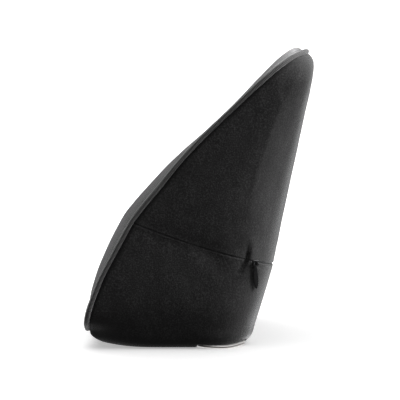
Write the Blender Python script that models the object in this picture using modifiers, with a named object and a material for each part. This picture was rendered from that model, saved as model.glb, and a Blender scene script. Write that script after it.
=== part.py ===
"""Lumbar support pillow: a wedge of foam in a piped and zipped cover, standing on its flat bottom.

Frame: the origin is the middle of the bottom, +X points to the chair's backrest, the sitter's side
is -X, +Z is up, and the zip's slider hangs on the near side, -Y. Tables are in millimetres.
"""

import collections
import math

import bmesh
import bpy
from mathutils import Matrix, Vector

MM = 0.001
COLLECTION = "lumbar_support_pillow"
GAP = 0.35  # the least air between two pieces

HALF_WIDTH = 168.8  # at the front seam, inside the welt
TOP_CORNER = 50.0  # radius of the front panel's upper corners
BOTTOM_CORNER = 24.0  # radius of its lower corners
TOP_ARCH = 5.2  # how far the top edge rises from its corners to its middle
ARCH_FADE = 0.5  # share of that rise that is lost at the back
CROWN_FLAT, CROWN_FLANK = 2.6, 0.9  # powers that shape the crown across the front panel

# The straight upper back and the lower back under the zip: x at a height, and the slope.
BACK_AT, BACK_X, BACK_SLOPE = 103.5, 101.2, 0.203
LOWER_AT, LOWER_X, LOWER_SLOPE = 17.6, 77.9, 0.304
ARCH_FROM, ARCH_OVER = 200.0, 80.0  # the rise starts at this height, and is full this much higher
TOP_ROLL_AT, TOP_ROLL = 268.0, 110.0  # above this height the back rolls forward: square over the second

FOOT_FRONT, FOOT_BACK, FOOT_SIDE = -48.0, 60.0, 147.0  # the flat that stands on the floor
FOOT_FRONT_CORNER, FOOT_BACK_CORNER = 24.0, 32.0
FOOT_STEPS = 4
FOOT_INNER = 0.9  # size of the innermost ring of the flat, as a share of its outline
FOOT_DRAW, FOOT_DRAW_TOP = 5.5, 50.0  # the sides draw in by this much below this height
CORNER_LEAD = 34.0  # the lower front corners fade out this far behind the welt

SEAM_DEPTH = 2.4
SEAM_LEAD = 6.0  # the groove starts this far behind the welt
SEAM_SAG, SEAM_SAG_REACH = 3.4, 95.0  # the zip line hangs in the middle, and its neighbours with it
SEAM_LEVEL = 8
SIDE_SHARES = (0.0, 0.06, 0.27, 0.51, 0.76, 1.0)
CORNER_STEPS = 3
ACROSS_STEPS = 14
SOFTEN_LEVELS = 1

# Radius of a rear corner: a share of its level's depth and a base. It is held under CORNER_TOP, and
# under CORNER_MOST as a share of the depth.
CORNER_SHARE, CORNER_BASE, CORNER_TOP, CORNER_MOST = 0.33, 6.0, 42.2, 0.8

WELT_RADIUS = 2.75
WELT_STAND = 1.3  # the cord's centre lies this far outside the seam
WELT_OFF, WELT_ASIDE = 0.6, 0.8  # of that, along the panel's normal and away from the panel
WELT_POINTS, WELT_RESOLUTION = 150, 3
LINE_STEPS = 8  # steps of the smooth line between two levels

LABEL_THICK, LABEL_AIR = 1.0, 0.8
LABEL_START, LABEL_END, LABEL_LOW = 22.0, 68.0, 44.0  # along x; lowest point of its cupped edge
LABEL_FOLD_Y, LABEL_EDGE_Y = -134.0, -157.5
LABEL_CUP_FRONT, LABEL_CUP_BACK = 0.6, 3.4
LABEL_SWEEP_FRONT, LABEL_SWEEP_BACK = 17.0, 11.0  # how far its free edge curves back at each end
LABEL_STEP_BACK = 2.5  # the upper leaf is this much shorter
LABEL_STEPS, FOLD_STEPS = 10, 6
RECESS_STEPS, RECESS_SIDE = 12, 0.55  # the recess over the label, and its air beside it
RECESS_OUT, RECESS_LOW = 30.0, -5.0  # how far its cutter reaches out and down

SLIDER_TURN = math.radians(33.0)
SLIDER_X, SLIDER_Y, SLIDER_Z = 77.6, -161.2, 84.2
SLIDER_LONG, SLIDER_TALL, SLIDER_CUT = 7.8, 5.8, 1.1
SLIDER_INNER, SLIDER_FACE = -2.0, 1.2  # depths of its body, from the cover outwards
ARCH_LEG, ARCH_BAR, ARCH_TOP, ARCH_TALL = 1.9, 1.1, 4.3, 1.5
ARCH_ROOT, ARCH_CHAMFER = 0.6, 0.6  # how deep its legs stand in the slider, and its cut shoulders
EYE_HOLE, EYE_DROP, EYE_SIDES = 1.55, 0.25, 16
POCKET_REACH = 12.0
PULLER_NEAR, PULLER_FAR, HEAD_STEPS = 1.6, 2.7, 8
PULLER_LEAN = math.radians(-3.5)
# Half-width of the puller at each distance below its eye.
PULLER_EDGE = [(0.0, 2.8), (1.8, 2.2), (3.4, 1.5), (5.5, 1.35), (9.0, 1.8), (12.5, 2.3), (16.0, 2.55),
               (19.0, 2.4), (22.0, 1.9), (24.2, 1.2), (25.4, 0.5)]

# A level runs from the welt (front) down to the back. The crown is how far the front panel stands
# off the line between its side seams, the swell how far the side stands out, and the seam is 1 on
# the zip line only.
Level = collections.namedtuple("Level", "front_x front_z back_z crown swell seam")
LEVELS = [
    Level(-85.5, 18.0, 17.5, 0.0, 0.0, 0),
    Level(-85.2, 25.5, 24.5, 3.4, 0.6, 0),
    Level(-82.8, 37.5, 35.0, 7.0, 1.2, 0),
    Level(-77.8, 51.5, 46.0, 9.6, 1.8, 0),
    Level(-70.6, 69.0, 57.0, 11.9, 2.2, 0),
    Level(-60.2, 89.0, 67.0, 13.2, 2.0, 0),
    Level(-50.0, 108.0, 74.2, 13.3, 1.2, 0),
    Level(-43.6, 119.6, 78.0, 13.0, 0.4, 0),
    Level(-41.4, 123.3, 81.0, 12.8, 0.0, 1),
    Level(-39.0, 127.0, 84.2, 12.6, 0.6, 0),
    Level(-32.0, 136.2, 90.5, 12.1, 2.2, 0),
    Level(-15.0, 157.6, 108.0, 11.0, 3.6, 0),
    Level(4.5, 182.0, 138.0, 8.6, 3.8, 0),
    Level(26.0, 204.4, 170.0, 4.8, 3.4, 0),
    Level(49.5, 225.2, 202.0, 3.1, 2.8, 0),
    Level(73.5, 248.0, 230.0, 3.0, 2.0, 0),
    Level(88.5, 261.2, 248.0, 4.7, 1.4, 0),
    Level(102.0, 271.0, 260.5, 8.0, 0.9, 0),
    Level(113.0, 278.2, 269.0, 11.0, 0.6, 0),
    Level(121.8, 283.2, 275.0, 11.6, 0.4, 0),
    Level(127.0, 285.8, 279.5, 9.0, 0.2, 0),
    Level(130.0, 287.2, 282.5, 0.0, 0.0, 0),
]

Finish = collections.namedtuple("Finish", "name colour roughness metallic sheen")
VELOUR = Finish("velour_black", (0.012, 0.012, 0.013), 0.9, 0.0, 0.6)
CORD = Finish("welt_velour_black", (0.014, 0.014, 0.015), 0.85, 0.0, 0.6)
METAL = Finish("zip_black_metal", (0.03, 0.03, 0.032), 0.35, 1.0, 0.0)
SATIN = Finish("label_white_satin", (0.62, 0.59, 0.57), 0.5, 0.0, 0.0)


def start_scene():
    for obj in list(bpy.data.objects):
        bpy.data.objects.remove(obj, do_unlink=True)
    collection = bpy.data.collections.new(COLLECTION)
    cutters = bpy.data.collections.new("cutters")
    cutters.hide_render = True
    for new in (collection, cutters):
        bpy.context.scene.collection.children.link(new)
    return collection, cutters


def material(finish):
    made = bpy.data.materials.new(finish.name)
    made.use_nodes = True
    shader = made.node_tree.nodes["Principled BSDF"]
    shader.inputs["Base Color"].default_value = (*finish.colour, 1.0)
    shader.inputs["Roughness"].default_value = finish.roughness
    shader.inputs["Metallic"].default_value = finish.metallic
    shader.inputs["Sheen Weight"].default_value = finish.sheen
    return made


def add_mesh(name, bm, collection, finish=None):
    """Closes the bmesh into an object, with its points turned from millimetres to metres."""
    bmesh.ops.recalc_face_normals(bm, faces=bm.faces[:])
    bmesh.ops.scale(bm, vec=Vector((MM, MM, MM)), verts=bm.verts[:])
    mesh = bpy.data.meshes.new(name)
    bm.to_mesh(mesh)
    bm.free()
    obj = bpy.data.objects.new(name, mesh)
    collection.objects.link(obj)
    if finish:
        mesh.materials.append(finish)
    else:
        obj.hide_render = True
        obj.display_type = "WIRE"
    return obj


def back_x(z):
    upper = BACK_X + (z - BACK_AT) * BACK_SLOPE - max(0.0, z - TOP_ROLL_AT) ** 2 / TOP_ROLL
    lower = LOWER_X + (z - LOWER_AT) * LOWER_SLOPE
    return min(upper, lower)


def run_lengths():
    """Distance along the front seam from the bottom run to each level."""
    lengths = [0.0]
    for a, b in zip(LEVELS, LEVELS[1:]):
        step = math.hypot(b.front_x - a.front_x, b.front_z - a.front_z)
        lengths.append(lengths[-1] + step)
    return lengths


def corner_loss(radius, left):
    """How much a rounded corner takes off the half-width, with this much run left to its end."""
    if left >= radius:
        return 0.0
    return radius - math.sqrt(radius**2 - (radius - left) ** 2)


def half_widths():
    """For each level, the half-width at the front seam and behind it."""
    lengths = run_lengths()
    widths = []
    for level, run in zip(LEVELS, lengths):
        drawn = max(0.0, (FOOT_DRAW_TOP - level.front_z) / (FOOT_DRAW_TOP - LEVELS[0].front_z))
        behind = HALF_WIDTH - corner_loss(TOP_CORNER, lengths[-1] - run)
        widths.append((behind - corner_loss(BOTTOM_CORNER, run), behind - FOOT_DRAW * drawn**2))
    return widths


def front_normals():
    """Outward normal of the front seam's line at each level, in the side plane."""
    normals = []
    last = len(LEVELS) - 1
    for i in range(len(LEVELS)):
        a, b = LEVELS[max(i - 1, 0)], LEVELS[min(i + 1, last)]
        along = Vector((b.front_x - a.front_x, 0.0, b.front_z - a.front_z)).normalized()
        normals.append(Vector((-along.z, 0.0, along.x)))
    return normals


def arch(height, y, depth_share):
    """Rise of the top edge towards the middle: it fades out down the cushion."""
    rise = TOP_ARCH * smooth((height - ARCH_FROM) / ARCH_OVER) * (1 - (y / HALF_WIDTH) ** 2)
    rise *= 1 - ARCH_FADE * depth_share
    return Vector((rise * BACK_SLOPE, 0.0, rise))


def crown_shape(w):
    """Share of the crown at a place across the front panel, from -1 to 1."""
    return (1 - abs(w) ** CROWN_FLAT) ** CROWN_FLANK


def across(steps):
    """Places from one side to the other, closer together near the sides."""
    return [math.sin(math.pi / 2 * (2 * k / steps - 1)) for k in range(steps + 1)]


def smooth(share):
    share = max(0.0, min(1.0, share))
    return share * share * (3 - 2 * share)


def ring(level, widths, normal):
    """Points of one level, from the near welt round the back to the far welt and across the front."""
    front = Vector((level.front_x, 0.0, level.front_z))
    back = Vector((back_x(level.back_z), 0.0, level.back_z))
    depth = (back - front).length
    inward = (back - front) / depth
    radius = min(CORNER_SHARE * depth + CORNER_BASE, CORNER_TOP, CORNER_MOST * depth)
    straight = depth - radius
    at_seam, behind = widths
    spots = []  # depth, half-width and outward direction as (depth share, width share)
    for share in SIDE_SHARES:
        run = straight * share
        wide = at_seam + (behind - at_seam) * smooth(run / CORNER_LEAD)
        spots.append((run, wide + level.swell * 4 * share * (1 - share), (0.0, 1.0)))
    for k in range(1, CORNER_STEPS + 1):
        turn = math.pi / 2 * k / CORNER_STEPS
        out = (math.sin(turn), math.cos(turn))
        spots.append((straight + radius * out[0], behind - radius + radius * out[1], out))
    side = []
    for run, wide, out in spots:
        sink = level.seam * SEAM_DEPTH * min(1.0, run / SEAM_LEAD)
        side.append((run - sink * out[0], wide - sink * out[1]))
    inner = side[-1][1]
    rear = [(side[-1][0], inner * w) for w in across(ACROSS_STEPS)[1:-1]]
    loop = [(run, -wide) for run, wide in side] + rear + [(run, wide) for run, wide in reversed(side)]
    near_seam = 1 - abs(level.front_z - LEVELS[SEAM_LEVEL].front_z) / SEAM_SAG_REACH
    sag = SEAM_SAG * smooth(near_seam)
    points = []
    for run, y in loop:
        share = run / depth
        point = front + inward * run + Vector((0.0, y, -sag * 4 * share * (1 - share)))
        points.append(point + arch(point.z, y, share))
    for w in reversed(across(ACROSS_STEPS)[1:-1]):
        stand = normal * (level.crown * crown_shape(w))
        point = front + stand + Vector((0.0, w * at_seam, 0.0))
        points.append(point + arch(front.z, point.y, 0.0))
    return points


def foot_half_width(x):
    """Half-width of the flat bottom at this x: it's a rounded rectangle."""
    front, back = x - FOOT_FRONT, FOOT_BACK - x
    corner, edge = (FOOT_FRONT_CORNER, front) if front < back else (FOOT_BACK_CORNER, back)
    return FOOT_SIDE - corner_loss(corner, edge)


def rounded_foot(lowest):
    """The outline of the flat bottom, with one point for each point of the lowest ring."""
    side_count = len(SIDE_SHARES) + CORNER_STEPS
    places = across(ACROSS_STEPS)[1:-1]
    ratios = [-1.0] * side_count + places + [1.0] * side_count + list(reversed(places))
    depth = back_x(LEVELS[0].back_z) - LEVELS[0].front_x
    points = []
    for p, ratio in zip(lowest, ratios):
        share = (p.x - LEVELS[0].front_x) / depth
        x = FOOT_FRONT + (FOOT_BACK - FOOT_FRONT) * max(0.0, min(1.0, share))
        points.append(Vector((x, ratio * foot_half_width(x), 0.0)))
    return points


def join_rings(bm, lower, upper):
    count = len(lower)
    for k in range(count):
        after = (k + 1) % count
        bm.faces.new((lower[k], lower[after], upper[after], upper[k]))


def close_top(bm, loop):
    """Bridges the narrow top level from its front row to its back row."""
    front_count = ACROSS_STEPS - 1
    around = len(loop) - front_count
    side_count = (around - front_count) // 2
    near, far = loop[:side_count], loop[around - side_count : around]
    rear = loop[side_count : around - side_count]
    front = list(reversed(loop[around:]))
    pairs = list(zip(front, rear))
    for (a, b), (c, d) in zip(pairs, pairs[1:]):
        bm.faces.new((a, b, d, c))
    bm.faces.new(near + [rear[0], front[0]])
    bm.faces.new([rear[-1]] + far + [front[-1]])


def cushion_cage():
    bm = bmesh.new()
    crease = bm.edges.layers.float.new("crease_edge")
    rings = [ring(*spec) for spec in zip(LEVELS, half_widths(), front_normals())]
    foot = rounded_foot(rings[0])
    lower = []
    for k in range(FOOT_STEPS, 0, -1):
        turn = math.pi / 2 * k / FOOT_STEPS
        blend, drop = math.cos(turn), 1 - math.sin(turn)
        row = []
        for target, start in zip(foot, rings[0]):
            row.append(Vector((
                target.x + (start.x - target.x) * blend,
                target.y + (start.y - target.y) * blend,
                start.z * drop,
            )))
        lower.append(row)
    middle = Vector(((FOOT_FRONT + FOOT_BACK) / 2, 0.0, 0.0))
    inner = [middle + (p - middle) * FOOT_INNER for p in foot]
    rows = [[bm.verts.new(p) for p in row] for row in [inner] + lower + rings]
    for a, b in zip(rows, rows[1:]):
        join_rings(bm, a, b)
    bm.faces.new(rows[0])
    close_top(bm, rows[-1])
    first = 1 + len(lower)
    front_count = ACROSS_STEPS - 1
    around = len(rows[0]) - front_count
    corners = (0, around - 1)
    seam = []
    for a, b in zip(rows[first:], rows[first + 1 :]):
        seam += [(a[c], b[c]) for c in corners]
    for row in (rows[first], rows[-1]):
        run = [row[around - 1]] + row[around:] + [row[0]]
        seam += list(zip(run, run[1:]))
    for pair in seam:
        bm.edges.get(pair)[crease] = 1.0
    return bm


def welt_line():
    """Closed line of the welt's centre, a little outside the front seam."""
    rings = [ring(*spec) for spec in zip(LEVELS, half_widths(), front_normals())]
    normals = front_normals()
    front_count = ACROSS_STEPS - 1
    around = len(rings[0]) - front_count
    near = [(r[0], n) for r, n in zip(rings, normals)]
    far = [(r[around - 1], n) for r, n in zip(rings, normals)]
    bottom = [(p, normals[0]) for p in rings[0][around:]]
    top = [(p, normals[-1]) for p in reversed(rings[-1][around:])]
    loop = near + top + list(reversed(far)) + bottom
    points = [p for p, _ in loop]
    line = []
    for k, (p, normal) in enumerate(loop):
        along = (points[(k + 1) % len(points)] - points[k - 1]).normalized()
        sideways = along.cross(normal).normalized()
        line.append(p + (normal * WELT_OFF - sideways * WELT_ASIDE) * WELT_STAND)
    return line


def even_line(points, count):
    """The closed line through these points as a smooth one, with evenly spaced points."""
    dense = []
    size = len(points)
    for k in range(size):
        p0, p1, p2, p3 = (points[(k + j) % size] for j in (-1, 0, 1, 2))
        for j in range(LINE_STEPS):
            t = j / LINE_STEPS
            dense.append(0.5 * (
                2 * p1 + (p2 - p0) * t + (2 * p0 - 5 * p1 + 4 * p2 - p3) * t**2
                + (3 * p1 - p0 - 3 * p2 + p3) * t**3
            ))
    runs = [0.0]
    for a, b in zip(dense, dense[1:] + dense[:1]):
        runs.append(runs[-1] + (b - a).length)
    even, at = [], 0
    for k in range(count):
        want = runs[-1] * k / count
        while runs[at + 1] < want:
            at += 1
        share = (want - runs[at]) / (runs[at + 1] - runs[at])
        even.append(dense[at].lerp(dense[(at + 1) % len(dense)], share))
    return even


def closed_tube(name, line, radius, collection, finish=None):
    """A tube along the closed line, still swept in metres and handed on in millimetres."""
    curve = bpy.data.curves.new(name, "CURVE")
    curve.dimensions = "3D"
    curve.bevel_depth = radius * MM
    curve.bevel_resolution = WELT_RESOLUTION
    spline = curve.splines.new("POLY")
    spline.points.add(len(line) - 1)
    for point, p in zip(spline.points, line):
        point.co = (*(p * MM), 1.0)
    spline.use_cyclic_u = True
    holder = bpy.data.objects.new(name + "_line", curve)
    collection.objects.link(holder)
    bpy.context.view_layer.update()
    graph = bpy.context.evaluated_depsgraph_get()
    mesh = bpy.data.meshes.new_from_object(holder.evaluated_get(graph))
    bm = bmesh.new()
    bm.from_mesh(mesh)
    bpy.data.objects.remove(holder, do_unlink=True)
    bpy.data.meshes.remove(mesh)
    bmesh.ops.remove_doubles(bm, verts=bm.verts[:], dist=1e-6)
    bmesh.ops.scale(bm, vec=Vector((1 / MM, 1 / MM, 1 / MM)), verts=bm.verts[:])
    return add_mesh(name, bm, collection, finish)


def loft(sections):
    """A closed solid through a row of like sections."""
    bm = bmesh.new()
    rows = [[bm.verts.new(p) for p in section] for section in sections]
    for a, b in zip(rows, rows[1:]):
        join_rings(bm, a, b)
    bm.faces.new(list(reversed(rows[0])))
    bm.faces.new(rows[-1])
    return bm


def label_bend(x, at_front, at_back):
    """A bend of the label at this x: nothing at its lowest point, and these amounts at its ends."""
    if x < LABEL_LOW:
        return at_front * ((LABEL_LOW - x) / (LABEL_LOW - LABEL_START)) ** 2
    return at_back * ((x - LABEL_LOW) / (LABEL_END - LABEL_LOW)) ** 2


def label_section(x):
    """The folded label's section: a lower leaf, a round fold at the back and a shorter upper leaf."""
    lift = label_bend(x, LABEL_CUP_FRONT, LABEL_CUP_BACK)
    edge = LABEL_EDGE_Y + label_bend(x, LABEL_SWEEP_FRONT, LABEL_SWEEP_BACK)
    outer = LABEL_THICK + LABEL_AIR / 2
    hollow = LABEL_AIR / 2
    turns = steps(0.0, math.pi, FOLD_STEPS)
    out = [(edge, 0.0)]
    out += [(LABEL_FOLD_Y + outer * math.sin(t), outer - outer * math.cos(t)) for t in turns]
    out += [(edge + LABEL_STEP_BACK, 2 * outer), (edge + LABEL_STEP_BACK, outer + hollow)]
    out += [(LABEL_FOLD_Y + hollow * math.sin(t), outer + hollow * math.cos(t)) for t in turns]
    out += [(edge, outer - hollow)]
    return [Vector((x, y, z + lift)) for y, z in out]


def label_recess_section(x):
    """The room over the label at this x, open to the near side and below."""
    lift = label_bend(x, LABEL_CUP_FRONT, LABEL_CUP_BACK)
    top = 2 * LABEL_THICK + LABEL_AIR + GAP + lift
    front = LABEL_EDGE_Y - RECESS_OUT
    rear = LABEL_FOLD_Y + 2 * GAP + LABEL_THICK + LABEL_AIR
    corners = [(front, RECESS_LOW), (rear, RECESS_LOW), (rear, top), (front, top)]
    return [Vector((x, y, z)) for y, z in corners]


def steps(start, end, count):
    return [start + (end - start) * k / count for k in range(count + 1)]


def slider_frame():
    """Places a shape modelled flat (x along the zip, y out of the cushion, z up) at the slider."""
    return Matrix.Translation((SLIDER_X, SLIDER_Y, SLIDER_Z)) @ Matrix.Rotation(SLIDER_TURN, 4, "Z")


def slab(outline, near, far):
    """A plate of this outline (x and z) between two depths, which count outwards from the cover."""
    return loft([[Vector((x, -depth, z)) for x, z in outline] for depth in (near, far)])


def cut_box(long, tall, cut):
    """The outline of a box with its corners cut off."""
    x, z = long / 2, tall / 2
    return [(-x + cut, -z), (x - cut, -z), (x, -z + cut), (x, z - cut),
            (x - cut, z), (-x + cut, z), (-x, z - cut), (-x, -z + cut)]


def slider_arch():
    """The arch on the slider's face, as a bar bent into a U and standing on both of its legs."""
    inner, outer = ARCH_LEG - ARCH_BAR / 2, ARCH_LEG + ARCH_BAR / 2
    root, under, shoulder = SLIDER_FACE - ARCH_ROOT, ARCH_TOP - ARCH_BAR, ARCH_TOP - ARCH_CHAMFER
    bar = [(-outer, root), (-inner, root), (-inner, under), (inner, under), (inner, root),
           (outer, root), (outer, shoulder), (inner, ARCH_TOP), (-inner, ARCH_TOP),
           (-outer, shoulder)]
    half = ARCH_TALL / 2
    return loft([[Vector((x, -depth, z)) for x, depth in bar] for z in (-half, half)])


def puller_plate():
    """The leaf with a round head, still without the hole of its eye. The eye's centre is at 0, 0."""
    head = PULLER_EDGE[0][1]
    turns = steps(0.0, math.pi, HEAD_STEPS)[1:-1]
    outline = [(-wide, -down) for down, wide in reversed(PULLER_EDGE)]
    outline += [(-head * math.cos(t), head * math.sin(t)) for t in turns]
    outline += [(wide, -down) for down, wide in PULLER_EDGE]
    return slab(outline, PULLER_NEAR, PULLER_FAR)


def hang(bm):
    """Leans the puller and hangs its eye on the front leg of the arch."""
    place = slider_frame() @ Matrix.Translation((-ARCH_LEG, 0.0, -EYE_DROP))
    matrix = place @ Matrix.Rotation(PULLER_LEAN, 4, "Y")
    bmesh.ops.transform(bm, matrix=matrix, verts=bm.verts[:])
    return bm


def placed(bm):
    bmesh.ops.transform(bm, matrix=slider_frame(), verts=bm.verts[:])
    return bm


def boolean(target, other, operation):
    step = target.modifiers.new(other.name, "BOOLEAN")
    step.operation = operation
    step.solver = "EXACT"
    step.object = other


def add_zip(cushion, collection, cutters, metal):
    body = slab(cut_box(SLIDER_LONG, SLIDER_TALL, SLIDER_CUT), SLIDER_INNER, SLIDER_FACE)
    slider = add_mesh("zip_slider", placed(body), collection, metal)
    boolean(slider, add_mesh("slider_arch", placed(slider_arch()), cutters), "UNION")
    puller = add_mesh("zip_puller", hang(puller_plate()), collection, metal)
    turns = steps(0.0, 2 * math.pi, EYE_SIDES)[:-1]
    hole = slab([(EYE_HOLE * math.cos(t), EYE_HOLE * math.sin(t)) for t in turns], 0.0, ARCH_TOP)
    boolean(puller, add_mesh("eye_hole", hang(hole), cutters), "DIFFERENCE")
    room = cut_box(SLIDER_LONG + 2 * GAP, SLIDER_TALL + 2 * GAP, SLIDER_CUT)
    pocket = slab(room, SLIDER_INNER - GAP, POCKET_REACH)
    boolean(cushion, add_mesh("slider_pocket", placed(pocket), cutters), "DIFFERENCE")


def main():
    collection, cutters = start_scene()
    cushion = add_mesh("cushion", cushion_cage(), collection, material(VELOUR))
    soften = cushion.modifiers.new("soften", "SUBSURF")
    soften.levels = SOFTEN_LEVELS
    soften.render_levels = SOFTEN_LEVELS

    line = even_line(welt_line(), WELT_POINTS)
    closed_tube("welt", line, WELT_RADIUS, collection, material(CORD))
    channel = closed_tube("welt_channel", line, WELT_RADIUS + GAP, cutters)
    boolean(cushion, channel, "DIFFERENCE")
    add_zip(cushion, collection, cutters, material(METAL))

    label = loft([label_section(x) for x in steps(LABEL_START, LABEL_END, LABEL_STEPS)])
    add_mesh("care_label", label, collection, material(SATIN))
    places = steps(LABEL_START - RECESS_SIDE, LABEL_END + RECESS_SIDE, RECESS_STEPS)
    recess = loft([label_recess_section(x) for x in places])
    boolean(cushion, add_mesh("label_recess", recess, cutters), "DIFFERENCE")


if __name__ == "__main__":
    main()
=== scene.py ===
"""A lumbar support pillow: black velour cover, welt, concealed zip with its puller, and care label.

Places are in the part's frame: +X to the chair's backrest, -Y the near side with the zip's slider,
+Z up. The pillow's own sizes are in millimetres, and pieces are built in metres.
"""

import logging
import math
from collections.abc import Callable
from dataclasses import dataclass
from enum import Enum

import bmesh
import bpy
import numpy as np
from mathutils import Matrix, Vector, kdtree, noise


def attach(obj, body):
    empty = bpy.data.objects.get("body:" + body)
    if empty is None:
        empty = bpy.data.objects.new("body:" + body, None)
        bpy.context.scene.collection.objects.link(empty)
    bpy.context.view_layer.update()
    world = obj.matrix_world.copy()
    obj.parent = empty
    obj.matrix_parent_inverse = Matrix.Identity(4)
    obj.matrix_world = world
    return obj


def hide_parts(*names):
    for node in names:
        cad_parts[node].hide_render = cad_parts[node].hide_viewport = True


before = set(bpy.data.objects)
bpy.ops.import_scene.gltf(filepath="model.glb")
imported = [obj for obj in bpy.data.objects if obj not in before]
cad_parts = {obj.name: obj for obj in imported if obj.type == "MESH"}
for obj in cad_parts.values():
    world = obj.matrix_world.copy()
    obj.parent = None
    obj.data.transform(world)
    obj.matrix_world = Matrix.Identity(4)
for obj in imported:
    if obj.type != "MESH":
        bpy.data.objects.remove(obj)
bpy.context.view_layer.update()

MM = 0.001
CURVE_STEPS = 10  # points that a smooth line gets between two given ones
SEAM_POINTS = 900  # points of the zip's line before the cover is smoothed
LOG = logging.getLogger("lumbar_pillow")


class Slot(Enum):
    """Names of the pieces' material slots."""

    COVER = "velour"
    WELT = "welt_velour"
    ZIP = "zip_metal"
    LABEL = "label_satin"


class Reach(Enum):
    """What a light shines on."""

    PART = "part"
    STAGE = "stage"
    LABEL = "label"


def smooth(share: float) -> float:
    """Ease from 0 to 1.

    Args:
        share: Position along the ramp; it is clipped to 0..1.

    Returns:
        The eased value.
    """
    share = max(0.0, min(1.0, share))
    return share * share * (3 - 2 * share)


def corner_loss(radius: float, left: float) -> float:
    """How much a rounded corner takes off a straight edge.

    Args:
        radius: Corner radius.
        left: Distance left to the end of the edge.

    Returns:
        The inward offset at that place.
    """
    if left >= radius:
        return 0.0
    return radius - math.sqrt(radius**2 - (radius - left) ** 2)


@dataclass(frozen=True)
class Level:
    """One level of the pillow, from the welt in front down to the back, in millimetres.

    crown is how far the front panel stands off the line between its side seams, swell how far the
    side stands out, and seam is 1 on the zip line.
    """

    front_x: float
    front_z: float
    back_z: float
    crown: float
    swell: float
    seam: float = 0.0


LEVELS: tuple[Level, ...] = (
    Level(-85.5, 18.0, 17.5, 0.0, 0.0),
    Level(-85.2, 25.5, 24.5, 3.9, 0.6),
    Level(-82.8, 37.5, 35.0, 8.3, 1.2),
    Level(-77.8, 51.5, 46.0, 10.2, 1.8),
    Level(-70.6, 69.0, 57.0, 11.4, 2.2),
    Level(-60.2, 89.0, 67.0, 13.0, 2.0),
    Level(-50.0, 108.0, 74.2, 13.8, 1.5),
    Level(-43.6, 119.6, 78.0, 13.9, 1.3),
    Level(-41.4, 123.3, 81.0, 13.6, 1.4, 1.0),
    Level(-39.0, 127.0, 84.2, 12.6, 1.6),
    Level(-32.0, 136.2, 90.5, 11.2, 2.4),
    Level(-14.6, 157.2, 108.0, 9.4, 3.4),
    Level(5.1, 181.4, 138.0, 7.3, 3.6),
    Level(26.3, 204.1, 170.0, 2.9, 3.4),
    Level(49.0, 225.7, 202.0, 0.5, 2.8),
    Level(73.0, 248.5, 230.0, 1.6, 2.0),
    Level(87.6, 262.2, 248.0, 2.3, 1.4),
    Level(100.6, 273.0, 260.5, 3.8, 0.9),
    Level(111.6, 280.6, 269.5, 6.9, 0.6),
    Level(120.9, 285.2, 274.8, 9.6, 0.4),
    Level(126.7, 286.9, 278.4, 10.0, 0.2),
    Level(130.0, 287.7, 280.4, 0.0, 0.0),
)


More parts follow.
